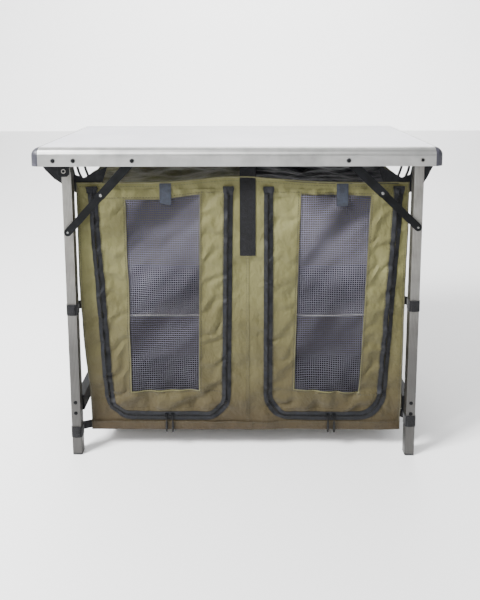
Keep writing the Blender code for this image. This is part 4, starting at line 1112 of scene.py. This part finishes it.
@dataclass
class Cupboard:
    """The cloth cupboard: its panels, its shelf and the seams, piping and straps on it."""

    shape: CupboardShape = CUPBOARD
    reach: float = 0.1986
    reach_inside: float = 0.1870
    strap_width: float = 0.040
    strap_length: float = 0.274
    strap_top: float = 0.7995
    strap_proud: float = 0.0016
    strap_thickness: float = 0.0015
    shelf_z: float = 0.362
    shelf_thickness: float = 0.004
    shelf_sag: float = 0.003
    shelf_edge: float = 0.0024
    hem_height: float = 0.024
    hem_proud: Point = (0.0030, 0.0016)
    hem_lap: Point = (0.012, 0.004)
    seam_half: float = 0.004
    seam_top: float = 0.526
    seam_proud: float = 0.0008
    seam_row: float = 0.0026
    top_stitches: float = 0.70
    pale_cord: float = 0.0019
    dark_cord: float = 0.0016

    def make_wall(self, face: Face) -> None:
        """The front, open where the doors are, or the back, in one piece."""
        name = face.name.lower()
        openings = [door.opening() for door in DOORS] if face is Face.FRONT else []
        cloth = CutCloth(self.shape.outline(), 0.0075 if openings else 0.010, openings)
        lie, depth = partial(self.shape.lie, face), (0, -face.value * self.shape.cloth, 0)
        gather(cloth.hang_sheet(f"{name}_cloth", OLIVE, "olive_cloth", lie, depth, (f"cupboard_{name}",)))

    def make_side(self, end: End) -> None:
        """One side wall."""
        name = end.name.lower()
        cloth = CutCloth(rectangle(-self.reach, self.reach, self.shape.bottom, self.shape.top), 0.010)
        place, depth = partial(self.shape.side_place, end), (-end.value * self.shape.cloth, 0, 0)
        held_by, replaced = (f"{name}_front_sling", f"{name}_back_sling"), (f"cupboard_{name}_wall",)
        piece = cloth.hang_sheet(f"{name}_side_cloth", OLIVE, "olive_cloth", place, depth, replaced)
        gather(piece, f"{name}_leg_fold")

    def make_level(
        self, name: str, finish: Finish, ends: Point, step: float, drape: Drape, thickness: float, *replaces: str
    ) -> None:
        """A level sheet between the front and the back.

        Args:
            name: The piece's name.
            finish: Its finish.
            ends: Its left and right edges.
            step: How far apart its points are.
            drape: Gives its points.
            thickness: How thick it is, upwards from those points, or downwards if below zero.
            replaces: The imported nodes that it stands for.
        """
        cloth = CutCloth(rectangle(*ends, -self.reach, self.reach), step)
        gather(cloth.hang_sheet(name, finish, "olive_cloth", drape, (0, 0, thickness), replaces))

    def slack(self, y: np.ndarray) -> np.ndarray:
        """How slack a level sheet is from the front to the back, one in the middle."""
        return np.clip(1 - (y / self.reach) ** 2, 0, 1)

    def roof_place(self, x: np.ndarray, y: np.ndarray) -> np.ndarray:
        """Points on the roof, which sags towards its middle."""
        folds = 0.7 * self.shape.cross.at(x + 2, y) + 0.5 * self.shape.fine.at(x, y + 4)
        sag = 0.0012 + 0.010 * self.slack(y) - 0.0048 * folds * self.slack(y) ** 0.5
        return np.stack([x, y, self.shape.top_edge(x) - sag], 1)

    def floor_place(self, x: np.ndarray, y: np.ndarray) -> np.ndarray:
        """Points on the floor's lower face, a little slack between the walls."""
        rise = 0.0005 + 0.0022 * self.slack(y) ** 0.5 * (1.2 + self.shape.cross.at(x, y + 9))
        return np.stack([x, y, self.shape.bottom + rise], 1)

    def make_roof(self, end: End) -> None:
        """Half of the roof: olive over the left compartment, and over the right one black cloth as painted shade from
        the table top.
        """
        low, high = self.shape.span(self.shape.top, 0.003)
        middle, down = self.shape.divider_x, -self.shape.cloth
        if end is End.LEFT:
            self.make_level("left_roof_cloth", OLIVE, (low, middle), 0.011, self.roof_place, down, "cupboard_roof")
        else:
            # Black cloth as painted shade: the right half of the olive roof lies in shadow under the table top.
            self.make_level("right_roof_cloth", BLACK_CLOTH, (middle + 0.0005, high), 0.011, self.roof_place, down)

    def make_floor(self) -> None:
        """The cupboard's floor."""
        ends = self.shape.span(self.shape.bottom, 0.003)
        self.make_level("floor_cloth", OLIVE, ends, 0.012, self.floor_place, self.shape.cloth, "cupboard_floor")

    def make_divider(self) -> None:
        """The wall between the two compartments, in soft folds."""
        cloth = CutCloth(rectangle(-self.reach_inside, self.reach_inside, self.shape.bottom + 0.007, 0.716), 0.014)

        def drape(y: np.ndarray, z: np.ndarray) -> np.ndarray:
            """Points on the wall."""
            return np.stack([self.shape.divider_x + 0.0022 * self.shape.slow.at(y, z), y, z], 1)

        held_by, replaced, depth = ("left_roof_cloth",), ("cupboard_divider",), (self.shape.cloth, 0, 0)
        gather(cloth.hang_sheet("divider_cloth", GREY_LINING, "shelf_cloth", drape, depth, replaced))

    def make_shelves(self) -> None:
        """The stiff shelf on both sides of the divider, and its pale edge."""
        shelves, edges = Mesh(), Mesh()
        reach, top = self.reach_inside, self.shelf_z + self.shelf_thickness
        left, right = self.shape.span(top, 0.0115)
        for low, high in ((left, self.shape.divider_x - 0.004), (self.shape.divider_x + 0.005, right)):

            def drape(x: np.ndarray, y: np.ndarray, middle: float = (low + high) / 2) -> np.ndarray:
                """Points on the shelf's upper face, which sags a little between its ends."""
                return np.stack([x, y, top - self.shelf_sag * (1 - ((x - middle) / (high - middle)) ** 2)], 1)

            board = CutCloth(rectangle(low, high, -reach, reach), 0.02)
            board.hang(drape, (0, 0, -self.shelf_thickness), shelves)
            x = np.linspace(low + 0.004, high - 0.004, 24)
            line = drape(x, np.full_like(x, 0.001 - reach)) - (0, 0, self.shelf_thickness / 2)
            edges.tube(line, self.shelf_edge)
        gather(shelves.piece("shelf_boards", SHELF, "shelf_cloth"))
        gather(edges.piece("shelf_edge_tape", SHELF_EDGE, "shelf_cloth"))

    def make_centre_strap(self, face: Face) -> None:
        """The hook-and-loop strap that holds up the middle of the front or the back."""
        x, half, top = self.shape.divider_x, self.strap_width / 2, self.strap_top
        cloth = CutCloth(rectangle(x - half, x + half, top - self.strap_length, top), 0.006)

        def drape(u: np.ndarray, v: np.ndarray) -> np.ndarray:
            """Points on the strap, on the cloth below and free above it."""
            places = self.shape.lie(face, u, np.minimum(v, self.shape.top), self.strap_proud)
            places[:, 2] = v
            return places

        name, depth = f"centre_strap_{face.name.lower()}", (0, -face.value * self.strap_thickness, 0)
        piece = cloth.hang_sheet(name, HOOK_TAPE, "webbing", drape, depth)
        gather(piece)

    def make_seams(self) -> None:
        """The bottom hem, the centre seam and the stitches that hold them and the side seams."""
        trim, thread = Mesh(), Mesh()
        bottom, hem_top = self.shape.bottom + 0.0012, self.shape.bottom + self.hem_height
        x, half = self.shape.divider_x, self.seam_half
        left, right = self.shape.span(bottom, 0.002)
        for low, high, proud in zip((left, x - self.hem_lap[1]), (x + self.hem_lap[0], right), self.hem_proud):
            CutCloth(rectangle(low, high, bottom, hem_top), 0.007).hang(on_front(proud), (0, 0.0007, 0), trim)
            sew(thread, [(low, hem_top - 0.003), (high, hem_top - 0.003)], proud)
        seam = CutCloth(rectangle(x - half, x + half, hem_top, self.seam_top), 0.006)
        seam.hang(on_front(self.seam_proud), (0, 0.0008, 0), trim)
        for row in (x - self.seam_row, x + self.seam_row):
            sew(thread, [(row, hem_top), (row, self.seam_top)], self.seam_proud)
        zs = np.linspace(hem_top, self.top_stitches, 24)
        for end in End:
            sew(thread, np.stack([self.shape.wall(end, zs) - end.value * 0.0065, zs], 1), 0.0)
        xs = np.linspace(*self.shape.span(self.top_stitches, 0.01), 60)
        sew(thread, np.stack([xs, self.shape.top_edge(xs) - 0.0085], 1), 0.0)
        gather(trim.piece("front_hem_and_seam", OLIVE, "olive_cloth"))
        gather(thread.piece("front_stitches", THREAD, "olive_cloth"))

    def make_piping(self) -> None:
        """The pale piping along the upper edges and the dark piping down the corners and along the bottom."""
        pale, dark = Mesh(), Mesh()
        xs = np.linspace(*self.shape.span(self.shape.top, 0.001), 90)
        for face in Face:
            pale.tube(self.shape.lie(face, xs, self.shape.top_edge(xs)) + (0.0, 0.0, 0.0008), self.pale_cord)
        gather(pale.piece("upper_piping", OLIVE_PIPING, "olive_cloth"))
        zs = np.linspace(self.shape.bottom + 0.001, self.shape.top - 0.001, 70)
        corners = [(self.shape.wall(end, zs) - end.value * self.dark_cord, zs) for end in End]
        xs = np.linspace(*self.shape.span(self.shape.bottom), 90)
        for x, z in (*corners, (xs, np.full_like(xs, self.shape.bottom + 0.0012))):
            for face in Face:
                dark.tube(self.shape.lie(face, x, z, -0.0003), self.dark_cord)
        gather(dark.piece("corner_piping", DARK_PIPING, "olive_cloth"))

    def build(self) -> None:
        """Makes the whole cupboard but its doors and slings."""
        for face in Face:
            self.make_wall(face)
        for end in End:
            self.make_side(end)
            self.make_roof(end)
        self.make_floor()
        self.make_divider()
        self.make_shelves()
        for face in Face:
            self.make_centre_strap(face)
        self.make_seams()
        self.make_piping()


# The doors, their zips and what holds the cupboard up


@dataclass
class Door:
    """One rolled-up door: its cloth with a net window, its hem, and the zip round three of its sides."""

    shape: DoorShape
    cupboard: CupboardShape = CUPBOARD
    rolled_keep: float = 0.149
    gap: float = 0.0036
    tape: float = 0.0115
    tape_proud: float = 0.0014
    tape_depth: Triple = (0.0, 0.0009, 0.0)
    tape_step: float = 0.0055
    ridge: float = 0.0034
    tooth: Triple = (0.0013, 0.0013, 0.0011)
    tooth_pitch: float = 0.004
    end_proud: float = 0.0066
    end_thickness: float = 0.0052
    zip_end: float = 0.004
    strand: float = 0.0008
    level_share: float = 1.35
    strand_pitch: float = 0.0057
    net_sink: float = 0.0017
    tie_width: float = 0.029
    tie_length: float = 0.058
    tie_proud: float = 0.0027
    tie_thickness: float = 0.0010
    tie_slant: float = 0.0

    @property
    def name(self) -> str:
        """The door's name."""
        return self.shape.name

    @property
    def hem_top(self) -> float:
        """Where the hem ends and the door's cloth starts."""
        return self.shape.bottom + self.shape.hem

    def roll(self, piece: bpy.types.Object) -> bpy.types.Object:
        """Gives a piece of the door a mesh of its own."""
        return gather(piece, f"{self.name}_door_roll")

    def lay_tape(self, x: np.ndarray, z: np.ndarray) -> np.ndarray:
        """The way that the zip lies on the cloth: flat along the bottom, and standing up in a ridge at the sides."""
        nearest = np.full(len(x), np.inf)
        for point in along_line(self.shape.path(0.0, self.shape.top), 0.002):
            nearest = np.minimum(nearest, np.hypot(x - point[0], z - point[1]))
        ridge = np.clip(1 - (nearest / self.tape) ** 2, 0, 1) * np.clip((z - 0.105) / 0.06, 0, 1)
        return self.cupboard.lie(Face.FRONT, x, z, self.tape_proud + self.ridge * ridge)

    def lay_strip(self, made: Mesh, shape: Shape) -> None:
        """Adds a strip of the zip's tape."""
        CutCloth(shape, self.tape_step).hang(self.lay_tape, self.tape_depth, made)

    def teeth(self, made: Mesh, line: Shape) -> None:
        """Adds a row of small teeth on a line of the zip."""
        places = self.lay_tape(*along_line(line, self.tooth_pitch).T)
        made.blocks(places, self.tooth, 0.0001, 0.65)

    def make_cloth(self) -> None:
        """The door's cloth round its window, and the doubled hem along its bottom."""
        outline = self.shape.outline(self.gap, self.hem_top, self.shape.top - 0.0003)
        cloth = CutCloth(outline, 0.0075, [self.shape.window(0.0)])
        name, depth = f"{self.name}_door_panel", (0, self.cupboard.cloth, 0)
        held_by, replaced = ("front_cloth",), (f"{self.name}_door_cloth",)
        self.roll(cloth.hang_sheet(name, OLIVE, "olive_cloth", on_front(0.0), depth, replaced))
        outline = self.shape.outline(self.gap, self.shape.bottom + self.gap, self.hem_top - 0.0003)
        hem = CutCloth(outline, 0.006).hang(on_front(0.0003), (0, 2 * self.cupboard.cloth, 0))
        hem.piece(f"{self.name}_hem_cloth", OLIVE, "olive_cloth", f"{self.name}_door", (f"{self.name}_door_hem",))

    def strand_line(self, made: Mesh, fixed: float, level: bool) -> float:
        """Adds one strand of the net across its window.

        Args:
            made: The mesh that it goes into.
            fixed: Its height, or where it stands from left to right.
            level: Whether it runs level.

        Returns:
            Its length.
        """
        free = np.linspace(-0.4, 0.44, 700) if level else np.linspace(0.14, 0.70, 500)
        held = np.full_like(free, fixed)
        flat = np.stack([free, held] if level else [held, free], 1)
        inside = flat[within(self.shape.window(-0.002), flat)]
        if len(inside) < 12:
            return 0.0
        line = on_front(-self.net_sink)(*along_line(inside[[0, -1]], 0.014).T)
        made.tube(line, self.strand * (self.level_share if level else 1.0), 4)
        return float(np.abs(inside[-1] - inside[0]).max())

    def make_net(self) -> None:
        """The window's net. Its real mesh of about 1.2 mm is drawn at 5.7 mm so that it shows."""
        net = Mesh()
        corners = np.array(self.shape.window(-0.002))
        low, high = corners.min(0), corners.max(0)
        length = sum(self.strand_line(net, z, True) for z in np.arange(low[1] + 0.001, high[1], self.strand_pitch))
        length += sum(self.strand_line(net, x, False) for x in np.arange(low[0] + 0.001, high[0], self.strand_pitch))
        piece = net.piece(f"{self.name}_net", NET, "window_net", replaces=(f"{self.name}_window_net",))
        f"{self.name}_door_panel"
        self.roll(piece)

    def make_binding(self) -> None:
        """The narrow pale binding of the window's edge, and the seams between the door's strips of cloth."""
        tape = CutCloth(self.shape.window(-0.0011), self.tape_step, [self.shape.window(0.0013)])
        binding = tape.hang(on_front(0.0010), (0, 0.0008, 0))
        self.roll(binding.piece(f"{self.name}_window_binding", BINDING, "olive_cloth"))
        thread = Mesh()
        corners = self.shape.window(-0.004)
        seams = list(zip(corners, corners[1:] + corners[:1]))
        for corner, end in ((-1, End.LEFT), (2, End.RIGHT), (1, End.RIGHT), (0, End.LEFT)):
            x, z = corners[corner]
            seams.append(((x, z), (self.shape.edge_at(end, self.tape, z), z)))
        seams += [self.shape.edge(end, 0.0135, self.hem_top + 0.04, self.shape.top) for end in End]
        for seam in seams:
            sew(thread, seam, 0.0004)
        self.roll(thread.piece(f"{self.name}_door_stitches", THREAD, "olive_cloth"))

    def make_fixed_zip(self) -> None:
        """The half of the zip that is sewn to the cupboard's front, with the folded cloth over its two ends."""
        tape, teeth, thread, ends = Mesh(), Mesh(), Mesh(), Mesh()
        self.lay_strip(tape, self.shape.band(-self.tape, -0.0006, self.shape.top))
        self.teeth(teeth, self.shape.path(-0.0014, self.shape.top - self.zip_end))
        sew(thread, self.shape.path(-0.0092, self.shape.top - self.zip_end), self.tape_proud)
        half = self.tape + 0.001
        for (_, x), lean in ((self.shape.left, 0.003), (self.shape.right, -0.003)):
            corners = [(x - half, 0.6895), (x + half - 0.002, 0.6885 + lean), (x + half + 0.0015, 0.6990)]
            corners += [(x + half, 0.7060), (x - half - 0.0015, 0.7055)]
            CutCloth(corners, 0.005).hang(on_front(self.end_proud), (0, self.end_thickness, 0), ends)
        gather(tape.piece(f"{self.name}_fixed_zip_tape", ZIP_TAPE, "webbing"))
        gather(teeth.piece(f"{self.name}_fixed_zip_teeth", ZIP_COIL, "black_plastic"))
        gather(thread.piece(f"{self.name}_fixed_zip_stitches", ZIP_COIL, "black_plastic"))
        gather(ends.piece(f"{self.name}_zip_end_cloth", BLACK_CLOTH, "webbing"))

    def make_moving_zip(self) -> None:
        """The half of the zip that is sewn to the door: its bottom goes with the hem."""
        hem_tape, hem_teeth, side_tape, side_teeth = Mesh(), Mesh(), Mesh(), Mesh()
        level, top = self.hem_top, self.shape.top
        self.lay_strip(hem_tape, self.shape.band(0.0006, self.tape, level - 0.0002))
        self.teeth(hem_teeth, self.shape.path(0.0014, level))
        for end in End:
            outer, inner, row = (self.shape.edge(end, inset, level, top) for inset in (0.0006, self.tape, 0.0014))
            self.lay_strip(side_tape, outer + inner[::-1])
            self.teeth(side_teeth, row[:-1] + [(row[-1][0], top - self.zip_end)])
        hem_tape.piece(f"{self.name}_hem_zip_tape", ZIP_TAPE, "webbing", f"{self.name}_door")
        hem_teeth.piece(f"{self.name}_hem_zip_teeth", ZIP_COIL, "black_plastic", f"{self.name}_door")
        self.roll(side_tape.piece(f"{self.name}_side_zip_tape", ZIP_TAPE, "webbing"))
        self.roll(side_teeth.piece(f"{self.name}_side_zip_teeth", ZIP_COIL, "black_plastic"))

    def make_tie(self) -> None:
        """The tape tie that holds the rolled door, hanging from the cupboard's upper edge."""
        x, half = self.shape.tie_x, self.tie_width / 2
        top = float(min(self.cupboard.top_edge(x - half), self.cupboard.top_edge(x + half))) - 0.0015
        low = top - self.tie_length
        cloth = CutCloth([(x - half, low + self.tie_slant), (x + half, low), (x + half, top), (x - half, top)], 0.005)
        name, lie, depth = f"{self.name}_door_tie", on_front(self.tie_proud), (0, self.tie_thickness, 0)
        gather(cloth.hang_sheet(name, TIE_CLOTH, "webbing", lie, depth))

    def dress_sliders(self) -> None:
        """Finishes the two sliders, and gives each a cord pull with a moulded grip."""
        for place in ("outer", "inner"):
            dress_nodes(BLACK_STEEL, f"{self.name}_{place}_slider")
            node = f"{self.name}_{place}_pull"
            low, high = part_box(node)
            x, y = (low[0] + high[0]) / 2, (low[1] + high[1]) / 2 - 0.0006
            drop = high[2] - low[2]
            profile = [(0.0006, 0.0), (0.0013, 0.0015), (0.0013, 0.30 * drop), (0.0024, 0.36 * drop)]
            profile += [(0.0030, 0.55 * drop), (0.0032, 0.86 * drop), (0.0024, 0.97 * drop), (0.0010, drop)]
            grip = Mesh()
            grip.turned((x, y, high[2]), profile, (0, 0, -1), 14)
            grip.piece(f"{self.name}_{place}_grip", PULL_PLASTIC, "black_plastic", f"{node}_body", (node,))

    def build(self) -> None:
        """Makes the whole door."""
        self.make_cloth()
        self.make_net()
        self.make_binding()
        self.make_fixed_zip()
        self.make_moving_zip()
        self.make_tie()
        self.dress_sliders()


@dataclass
class Hangers:
    """What holds one side of the cupboard: the cloth slings from the end rail and the tabs to the legs' wraps."""

    end: End
    leg_x: float
    wrap_heights: Point
    sling_curve: Shape
    cupboard: CupboardShape = CUPBOARD
    rail_x: float = 0.4977
    rail_z: float = 0.790
    reach: float = 0.1980
    sling_thickness: float = 0.001
    strap_half: float = 0.006
    strap_thickness: float = 0.0024
    tab_half: float = 0.011
    tab_thickness: float = 0.001
    leg_inner: float = 0.2085

    @property
    def name(self) -> str:
        """The end's name."""
        return self.end.name.lower()

    def wall(self, z: float) -> float:
        """The side wall's outer face."""
        return float(self.cupboard.wall(self.end, z))

    def sling_outline(self) -> Shape:
        """A sling's shape, from its upper outer corner down its edge, along the cupboard and back up."""
        rail, inward = self.end.value * self.rail_x, -self.end.value
        corner = self.wall(0.708)
        upper = ((0.030, 0.7125), (0.066, 0.7160), (0.080, 0.7560), (0.045, 0.7410), (0.020, 0.7270))
        return [
            (rail, self.rail_z),
            (rail, self.rail_z - 0.016),
            *((rail + inward * far, z) for far, z in self.sling_curve),
            (self.wall(0.688) + inward * 0.0006, 0.688),
            (corner + inward * 0.0006, 0.708),
            *((corner + inward * far, z) for far, z in upper),
            (self.leg_x + inward * 0.0125, 0.7350),
            (self.leg_x, 0.7975),
        ]

    def sling_place(self, face: Face, x: np.ndarray, z: np.ndarray) -> np.ndarray:
        """Points on a sling, a little slack between its corners."""
        slack = 0.0009 * (1 + self.cupboard.fine.at(x, z))
        return np.stack([x, face.value * (self.reach - slack), z], 1)

    def make_slings(self) -> None:
        """The two black cloth slings, which hang the cupboard's upper corners from the end rail."""
        cloth = CutCloth(self.sling_outline(), 0.006)
        for face in Face:
            name, held_by = f"{self.name}_{face.name.lower()}_sling", (f"{self.name}_end_rail",)
            place, depth = partial(self.sling_place, face), (0, -face.value * self.sling_thickness, 0)
            cloth.hang_sheet(name, BLACK_CLOTH, "webbing", place, depth)

    def make_loops(self) -> None:
        """The two narrow straps behind each sling, curving from under the board to the cupboard's corner."""
        loops = Mesh()
        turns = np.linspace(0, 1, 14)
        for face in Face:
            y = face.value * (self.reach - 0.012 - 0.004 * turns)
            for start, shift, belly in ((0.020, 0.010, -0.012), (0.028, 0.020, -0.006)):
                x = self.leg_x - self.end.value * (start + shift * turns + belly * np.sin(math.pi * turns))
                line = np.stack([x, y, 0.7975 - 0.088 * turns], 1)
                loops.ribbon(line, (0, self.strap_half, 0), self.strap_thickness)
        loops.piece(f"{self.name}_sling_straps", WEBBING, "webbing")

    def make_tabs(self) -> None:
        """The short webbing tabs between the cupboard's corners and the wraps."""
        tabs = Mesh()
        inward, start, finish = -self.end.value, self.reach - 0.0016, self.leg_inner - 0.0032
        for face in Face:
            for z in self.wrap_heights:
                wall = self.wall(z)
                sewn = [(0.0009, start - 0.006), (-0.0004, start - 0.001), (-0.0020, start)]
                places = [(wall + inward * far, y) for far, y in sewn]
                places += [(self.leg_x + inward * far, finish) for far in (0.0045, -0.004)]
                line = [(x, face.value * y, z) for x, y in places]
                tabs.ribbon(line, (0, 0, -face.value * inward * self.tab_half), self.tab_thickness)
        gather(tabs.piece(f"{self.name}_tabs", WEBBING, "webbing"), f"{self.name}_leg_fold")

    def build(self) -> None:
        """Makes the slings, the straps and the tabs."""
        self.make_slings()
        self.make_loops()
        self.make_tabs()


# The studio


@dataclass
class Studio:
    """A plain pale floor and soft light from the upper left."""

    half: float = 9.0
    far: float = 7.0
    high: float = 6.0
    world: str = "F4F5F7"
    world_strength: float = 0.52

    def make_paper(self, name: str, finish: Finish, *corners: Triple) -> None:
        """One large flat sheet of paper, the floor or the backdrop."""
        mesh = bpy.data.meshes.new(name)
        mesh.from_pydata(corners, [], [(0, 1, 2, 3)])
        paper = bpy.data.objects.new(name, mesh)
        bpy.context.scene.collection.objects.link(paper)
        finish.dress(paper)
        paper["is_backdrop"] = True

    def make_world(self) -> None:
        """The even light that comes from all round."""
        world = bpy.data.worlds.new("studio_world")
        world.use_nodes = True
        background = world.node_tree.nodes["Background"]
        background.inputs["Color"].default_value = linear(self.world)
        background.inputs["Strength"].default_value = self.world_strength
        bpy.context.scene.world = world

    def make_light(
        self, name: str, place: Triple, size: float, power: float, target: Triple = (0.0, 0.0, 0.45)
    ) -> None:
        """One large soft lamp, turned to the middle of the unit or to another target."""
        lamp = bpy.data.lights.new(name, "AREA")
        lamp.shape = "SQUARE"
        lamp.size = size
        lamp.energy = power
        made = bpy.data.objects.new(name, lamp)
        bpy.context.scene.collection.objects.link(made)
        made.location = place
        aim = Vector(target) - Vector(place)
        made.rotation_euler = aim.to_track_quat("-Z", "Y").to_euler()

    def build(self) -> None:
        """Makes the floor, the backdrop, the world and the lamps."""
        r, far, high = self.half, self.far, self.high
        self.make_paper("studio_floor", PAPER, (-r, -r, 0), (r, -r, 0), (r, r, 0), (-r, r, 0))
        self.make_paper("studio_backdrop", BACKDROP, (-r, far, 0), (r, far, 0), (r, far, high), (-r, far, high))
        self.make_world()
        self.make_light("key_lamp", (-2.3, -1.6, 2.9), 1.0, 450.0)
        self.make_light("fill_lamp", (2.6, -2.6, 1.8), 2.2, 10.0)
        self.make_light("top_lamp", (-0.2, 0.7, 3.1), 3.0, 30.0)
        self.make_light("front_lamp", (-0.8, -3.1, 3.0), 2.9, 85.0)
        self.make_light("rear_lamp", (0.6, 2.8, 2.4), 2.0, 40.0)
        self.make_light("paper_lamp", (0.0, 5.0, 3.4), 5.0, 280.0, (0.0, 5.1, 0.0))


@dataclass
class StudioCamera:
    """The camera at the photograph's viewing angle, for an upright frame of 480 by 600."""

    place: Triple = (0.0207, -1.6617, 1.0171)
    down: float = 7.39
    turn: float = 0.47
    roll: float = -0.16
    lens: float = 35.71
    shift: float = -0.27

    def build(self) -> None:
        """Makes the camera and gives it to the scene."""
        data = bpy.data.cameras.new("studio_camera")
        data.sensor_fit = "VERTICAL"
        data.sensor_height = 36.0
        data.sensor_width = 24.0
        data.lens = self.lens
        data.shift_y = self.shift
        data.clip_start, data.clip_end = 0.05, 60.0
        camera = bpy.data.objects.new("studio_camera", data)
        bpy.context.scene.collection.objects.link(camera)
        camera.location = self.place
        turn = Matrix.Rotation(math.radians(self.turn), 4, "Z")
        tilt = Matrix.Rotation(math.radians(90 - self.down), 4, "X")
        lean = Matrix.Rotation(math.radians(self.roll), 4, "Z")
        camera.rotation_euler = (turn @ tilt @ lean).to_euler()
        bpy.context.scene.camera = camera


LEFT_FRAME = LegFrame(
    End.LEFT, -0.4165, (-0.4185, 0.2477, 0.753), (0.395, 0.064), (-0.33054, 0.69229), (-0.4165, 0.598)
)
RIGHT_FRAME = LegFrame(End.RIGHT, 0.4455, (0.4475, 0.25, 0.780), (0.406, 0.096), (0.35515, 0.6975), (0.4455, 0.6105))

# How each sling's lower edge falls from the end rail: how far inwards, and its height
SLING_CURVES = {
    End.LEFT: [(0.018, 0.747), (0.040, 0.724), (0.068, 0.706)],
    End.RIGHT: [(0.010, 0.752), (0.022, 0.726), (0.038, 0.701)],
}


def main() -> None:
    """Builds the unit, its studio and its camera, and keeps the sizes before and after."""
    logging.basicConfig(level=logging.INFO, format="%(message)s")
    sizes = {"cad": [list(corner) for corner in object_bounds()]}
    StudioCamera().build()
    Studio().build()
    TableTop().build()
    for leg_frame in (LEFT_FRAME, RIGHT_FRAME):
        leg_frame.build()
        Hangers(leg_frame.end, leg_frame.leg_x, leg_frame.wrap_heights, SLING_CURVES[leg_frame.end]).build()
    Cupboard().build()
    Door(LEFT_DOOR, tie_slant=0.008).build()
    Door(RIGHT_DOOR).build()
    sizes["visual"] = [list(corner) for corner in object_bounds()]
    for name, corners in sizes.items():
        log.info("%s box: %s", name, corners)


if __name__ == "__main__":
    main()
